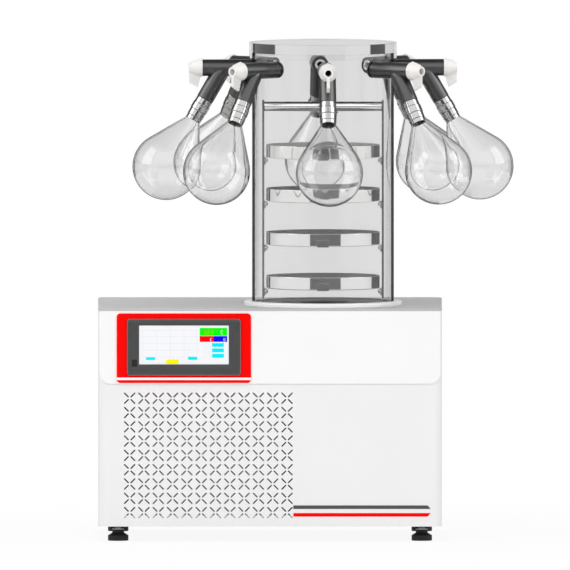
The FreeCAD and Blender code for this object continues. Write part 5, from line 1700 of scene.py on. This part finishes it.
    def pins(self) -> Skin:
        """Bayonet pins at the sides of the coupling's upper bead.

        Returns:
            The surface.
        """
        radius, long = self.pin_radius, self.pin_long
        profile = rounded([(0.0, 0.0), (radius, 0.0), (radius, long, self.pin_round), (0.0, long)])
        drop = -self.branch_long - self.pin_drop
        skins = [
            lathe(profile, PIN_TURN)
            .moved(turn_about_y(side.value * math.pi / 2.0), ORIGIN)
            .moved(STILL, (side.value * self.pin_root, 0.0, drop))
            for side in Side
        ]
        return joined(skins).moved(turn_about_z(math.pi / 2.0), ORIGIN)

    def build(self) -> None:
        """Build and dress the port; the first one stands for the shared nodes."""
        number, first = self.number, self.number == 1
        self.bench.dress({f"valve_plug_{number}": PLUG_WHITE})
        bodies, couplings = (["valve_bodies"], ["flask_couplings"]) if first else ([], [])
        metal = joined([self.coupling(), self.pins()])
        for name, skin, finish, stands_for in (
            ("blown_flask", self.on_branch(self.flask()), FLASK_GLASS, [f"flask_{number}"]),
            ("valve", self.rubber(), VALVE_RUBBER, bodies),
            ("coupling", self.on_branch(metal), COUPLING_CHROME, couplings),
            # dark rings and sleeve: partly painted reflection lines and shade
            ("coupling_shade_seals", self.on_branch(self.seals()), SEAL_SHADE_BLACK, []),
        ):
            self.bench.piece(f"{name}_{number}", skin, finish, stands_for)


# ---- services ------------------------------------------------------------------------


@dataclass
class Services:
    """Condensing unit inside the cabinet and the connections at its back."""

    bench: Bench
    seal_wide: float = 29.0
    seal_deep: float = 28.0
    seal_gap: float = 1.0
    seal_foot: float = 2.0
    seal_rise: float = 8.0
    seal_corner: float = 2.0
    seal_edge: float = 1.5
    panel_gap: float = 3.0
    finishes: dict[str, Finish] = field(
        default_factory=lambda: {
            "condenser": FIN_ALUMINIUM,
            "fan_shroud": SHROUD_STEEL,
            "fan_rotor": FAN_BLACK,
            "compressor": COMPRESSOR_BLACK,
            "vacuum_port": PORT_STEEL,
            "drain_valve": VALVE_BRASS,
            "drain_lever": LEVER_RED,
            "power_inlet": INLET_BLACK,
            "power_rocker": INLET_BLACK,
        }
    )

    def seals(self) -> Skin:
        """Foam strips that close the gaps beside the condenser, behind the vents; their black is
        partly painted shade, standing in for the dark inside of the cabinet seen through the end
        vents.

        Returns:
            The surface.
        """
        low, high = self.bench.box("condenser")
        front = self.bench.box("wrap_panel")[0][1] + self.panel_gap
        foot, top = low[2] + self.seal_foot, high[2] + self.seal_rise
        skins = []
        for x in (low[0] - self.seal_gap - self.seal_wide, high[0] + self.seal_gap):
            outline = oblong(
                (x, front), (x + self.seal_wide, front + self.seal_deep), self.seal_corner
            )
            skins.append(pillow_slab(outline, foot, top, self.seal_edge))
        return joined(skins)

    def build(self) -> None:
        """Build the seals and dress the services."""
        self.bench.dress(self.finishes)
        # black strips: partly painted shade that darkens the end vents
        self.bench.piece("condenser_shade_seals", self.seals(), FOAM_BLACK)


# ---- studio --------------------------------------------------------------------------


@dataclass
class Studio:
    """Pale floor, soft lamps, the surround and the camera.

    A row of 'flags' or 'softboxes' is a strip of the surround: the bearings of its two
    sides, in radians, and how dark or how much brighter it is.
    """

    elevation: float = 2.6
    aim: tuple[float, float, float] = (-0.0372, -0.156, 0.4591)
    span: float = 1.0197
    distance: float = 6.0
    sight: float = 50.0
    floor_rings: tuple[float, float] = (0.5, 1.5)
    floor_reach: float = 3.2
    floor_tones: tuple[str, str] = ("ededed", "f2f2f2")
    floor_mottle: float = 3.0
    floor_plain: float = 0.9
    fade_radius: float = 1.0
    fade_wide: float = 1.0
    lit_spot: tuple[float, float, float] = (-0.03, 0.0, 0.4)
    ambient: float = 0.70
    backdrop: float = 0.76
    shown_to: tuple[str, ...] = ("Camera", "Glossy", "Transmission")
    flags: tuple[tuple[float, float, float], ...] = (
        (-0.459, 0.630, 0.86),
        (2.01, 2.63, 0.93),
        (-2.64, -2.34, 0.95),
    )
    softboxes: tuple[tuple[float, float, float], ...] = (
        (-2.0, -0.95, 3.2),
        (-0.80, 0.85, 0.85),
        (1.0, 2.0, 3.2),
    )
    flag_soft: float = 0.02
    box_soft: float = 0.03
    box_heights: tuple[float, float, float] = (0.12, 0.82, 0.04)
    level_zone: tuple[float, float, float] = (-0.045, 0.11, 0.03)
    ceiling: tuple[float, float, float] = (0.93, 0.03, 0.9)
    back_ring: tuple[tuple[float, float], tuple[float, float], float] = (
        (0.1, 0.15),
        (0.86, 0.03),
        0.85,
    )
    backdrop_edge: tuple[float, float] = (0.4, 0.6)
    lamps: tuple[tuple[str, tuple[float, float, float], float, float], ...] = (
        ("key", (-2.2, -3.0, 2.6), 2.2, 47.0),
        ("fill", (2.6, -2.6, 1.6), 2.2, 23.0),
        ("top", (0.0, 0.4, 3.4), 2.0, 17.0),
    )

    def camera(self) -> None:
        """Level view without perspective, 'span' metres across."""
        made = bpy.data.cameras.new("camera")
        made.type = "ORTHO"
        made.ortho_scale = self.span
        made.clip_end = self.sight
        eye = placed("camera", made)
        tilt = math.radians(self.elevation)
        back = Vector((0.0, -math.cos(tilt), math.sin(tilt)))
        eye.location = Vector(self.aim) + back * self.distance
        eye.rotation_euler = (math.pi / 2.0 - tilt, 0.0, 0.0)
        bpy.context.scene.camera = eye

    def floor(self) -> None:
        """Round floor that is lit near the object and turns plain white away from it."""
        angle = np.arange(FLOOR_TURN) * (TURN / FLOOR_TURN)
        radii = np.array([*self.floor_rings, self.floor_reach])
        points = circles(np.column_stack([radii, np.zeros(len(radii))]), angle)
        mesh = bpy.data.meshes.new("floor")
        faces = grid_faces(len(radii), FLOOR_TURN) + [tuple(range(FLOOR_TURN))]
        mesh.from_pydata(points.tolist(), [], faces)
        made = placed("floor", mesh)
        material = bpy.data.materials.new("floor")
        material.use_nodes = True
        graph = Graph(material.node_tree)
        place = graph.place()
        path = graph.node("ShaderNodeLightPath")
        seen = sum((Value(graph, path.outputs[f"Is {kind} Ray"]) for kind in self.shown_to), 0.0)
        far = graph.reach(place, (0.0, 0.0)).over(self.fade_radius, self.fade_wide)
        plain = (far * (1.0 - self.floor_plain) + self.floor_plain) * seen.clipped()
        cloud = graph.noise(place, self.floor_mottle)
        tint = graph.blend(*map(tone, self.floor_tones), cloud)
        diffuse = graph.node("ShaderNodeBsdfDiffuse", None, {0: tint})
        glow = graph.node("ShaderNodeEmission", None, {"Color": WHITE, "Strength": 1.0})
        graph.output(diffuse, glow, plain)
        mesh.materials.append(material)

    def lamp(self, name: str, spot: Sequence[float], size: float, watts: float) -> None:
        """Square area lamp turned to the object, which neither gloss nor glass shows.

        Args:
            name: the lamp's name.
            spot: its place, in metres.
            size: its side, in metres.
            watts: its power.
        """
        light = bpy.data.lights.new(name, "AREA")
        light.shape = "SQUARE"
        light.size = size
        light.energy = watts
        made = placed(name, light)
        made.location = spot
        aim = Vector(self.lit_spot) - Vector(spot)
        made.rotation_euler = aim.to_track_quat("-Z", "Y").to_euler()
        made.visible_camera = made.visible_glossy = made.visible_transmission = False

    def world(self) -> None:
        """White surround for the eye, and a studio with dark flags for gloss and glass.

        The bearing is 0 toward the front. The first flag shows only to a ray that has
        been mirrored. The others also show to one that has crossed glass up to twice,
        and fade out by the fourth time, so that a clear part stays clear when it is
        looked straight through.
        """
        world = bpy.data.worlds.new("studio")
        bpy.context.scene.world = world
        world.use_nodes = True
        graph = Graph(world.node_tree)
        facing = Value(graph, graph.node("ShaderNodeTexCoord").outputs["Generated"])
        across, along, up = graph.parts(facing)
        bearing = graph.maths("ARCTAN2", across, 0.0 - along)
        path = graph.node("ShaderNodeLightPath")
        mirrored = Value(graph, path.outputs["Glossy Depth"])
        crossed = Value(graph, path.outputs["Transmission Depth"]).over(3.0, 1.0)
        middle, half, soft = self.level_zone
        level = 1.0 - (up - middle).size().over(half, soft)
        front, *sides = (
            bearing.between(start, end, self.flag_soft) * share * level
            for start, end, share in self.flags
        )
        dark = sum(sides) * (mirrored + 1.0 - crossed).clipped() + front * mirrored.clipped()
        high = up.between(*self.box_heights)
        boxes = sum(
            bearing.between(start, end, self.box_soft) * share * high
            for start, end, share in self.softboxes
        )
        start, soft, share = self.ceiling
        ceiling = up.over(start, soft) * share
        (start, rise), (end, fall), share = self.back_ring
        ring = along.over(start, rise) * (1.0 - along.over(end, fall)) * (1.0 - level) * share
        start, soft = self.backdrop_edge
        behind = 1.0 - along.over(start, soft) * (1.0 - self.backdrop)
        eye, gloss, through = (
            Value(graph, path.outputs[f"Is {kind} Ray"]) for kind in self.shown_to
        )
        studio = (boxes + 1.0) * behind * (1.0 - (dark + ceiling + ring).clipped())
        lit = (gloss * 0.0 + self.ambient).toward(studio, gloss)
        lit = lit.toward(studio, through).toward(1.0, eye)
        background = graph.node("ShaderNodeBackground", None, {"Color": lit, "Strength": 1.0})
        output = graph.node("ShaderNodeOutputWorld")
        graph.tree.links.new(background.outputs[0], output.inputs[0])

    def build(self) -> None:
        """Set up the studio."""
        bpy.context.scene.view_settings.view_transform = "Standard"
        self.world()
        self.floor()
        self.camera()
        for lamp in self.lamps:
            self.lamp(*lamp)


def main() -> None:
    """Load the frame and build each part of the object."""
    logging.basicConfig(level=logging.INFO, format="%(name)s %(message)s")
    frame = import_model()
    bench = Bench(frame)
    Cabinet(bench).build()
    OperatorPanel(bench).build()
    chamber = DryingChamber(bench)
    chamber.build()
    TrayRack(bench).build()
    for number in range(1, chamber.sectors + 1):
        FlaskPort(bench, number, chamber.hole_z).build()
    Services(bench).build()
    Studio().build()


if __name__ == "__main__":
    main()
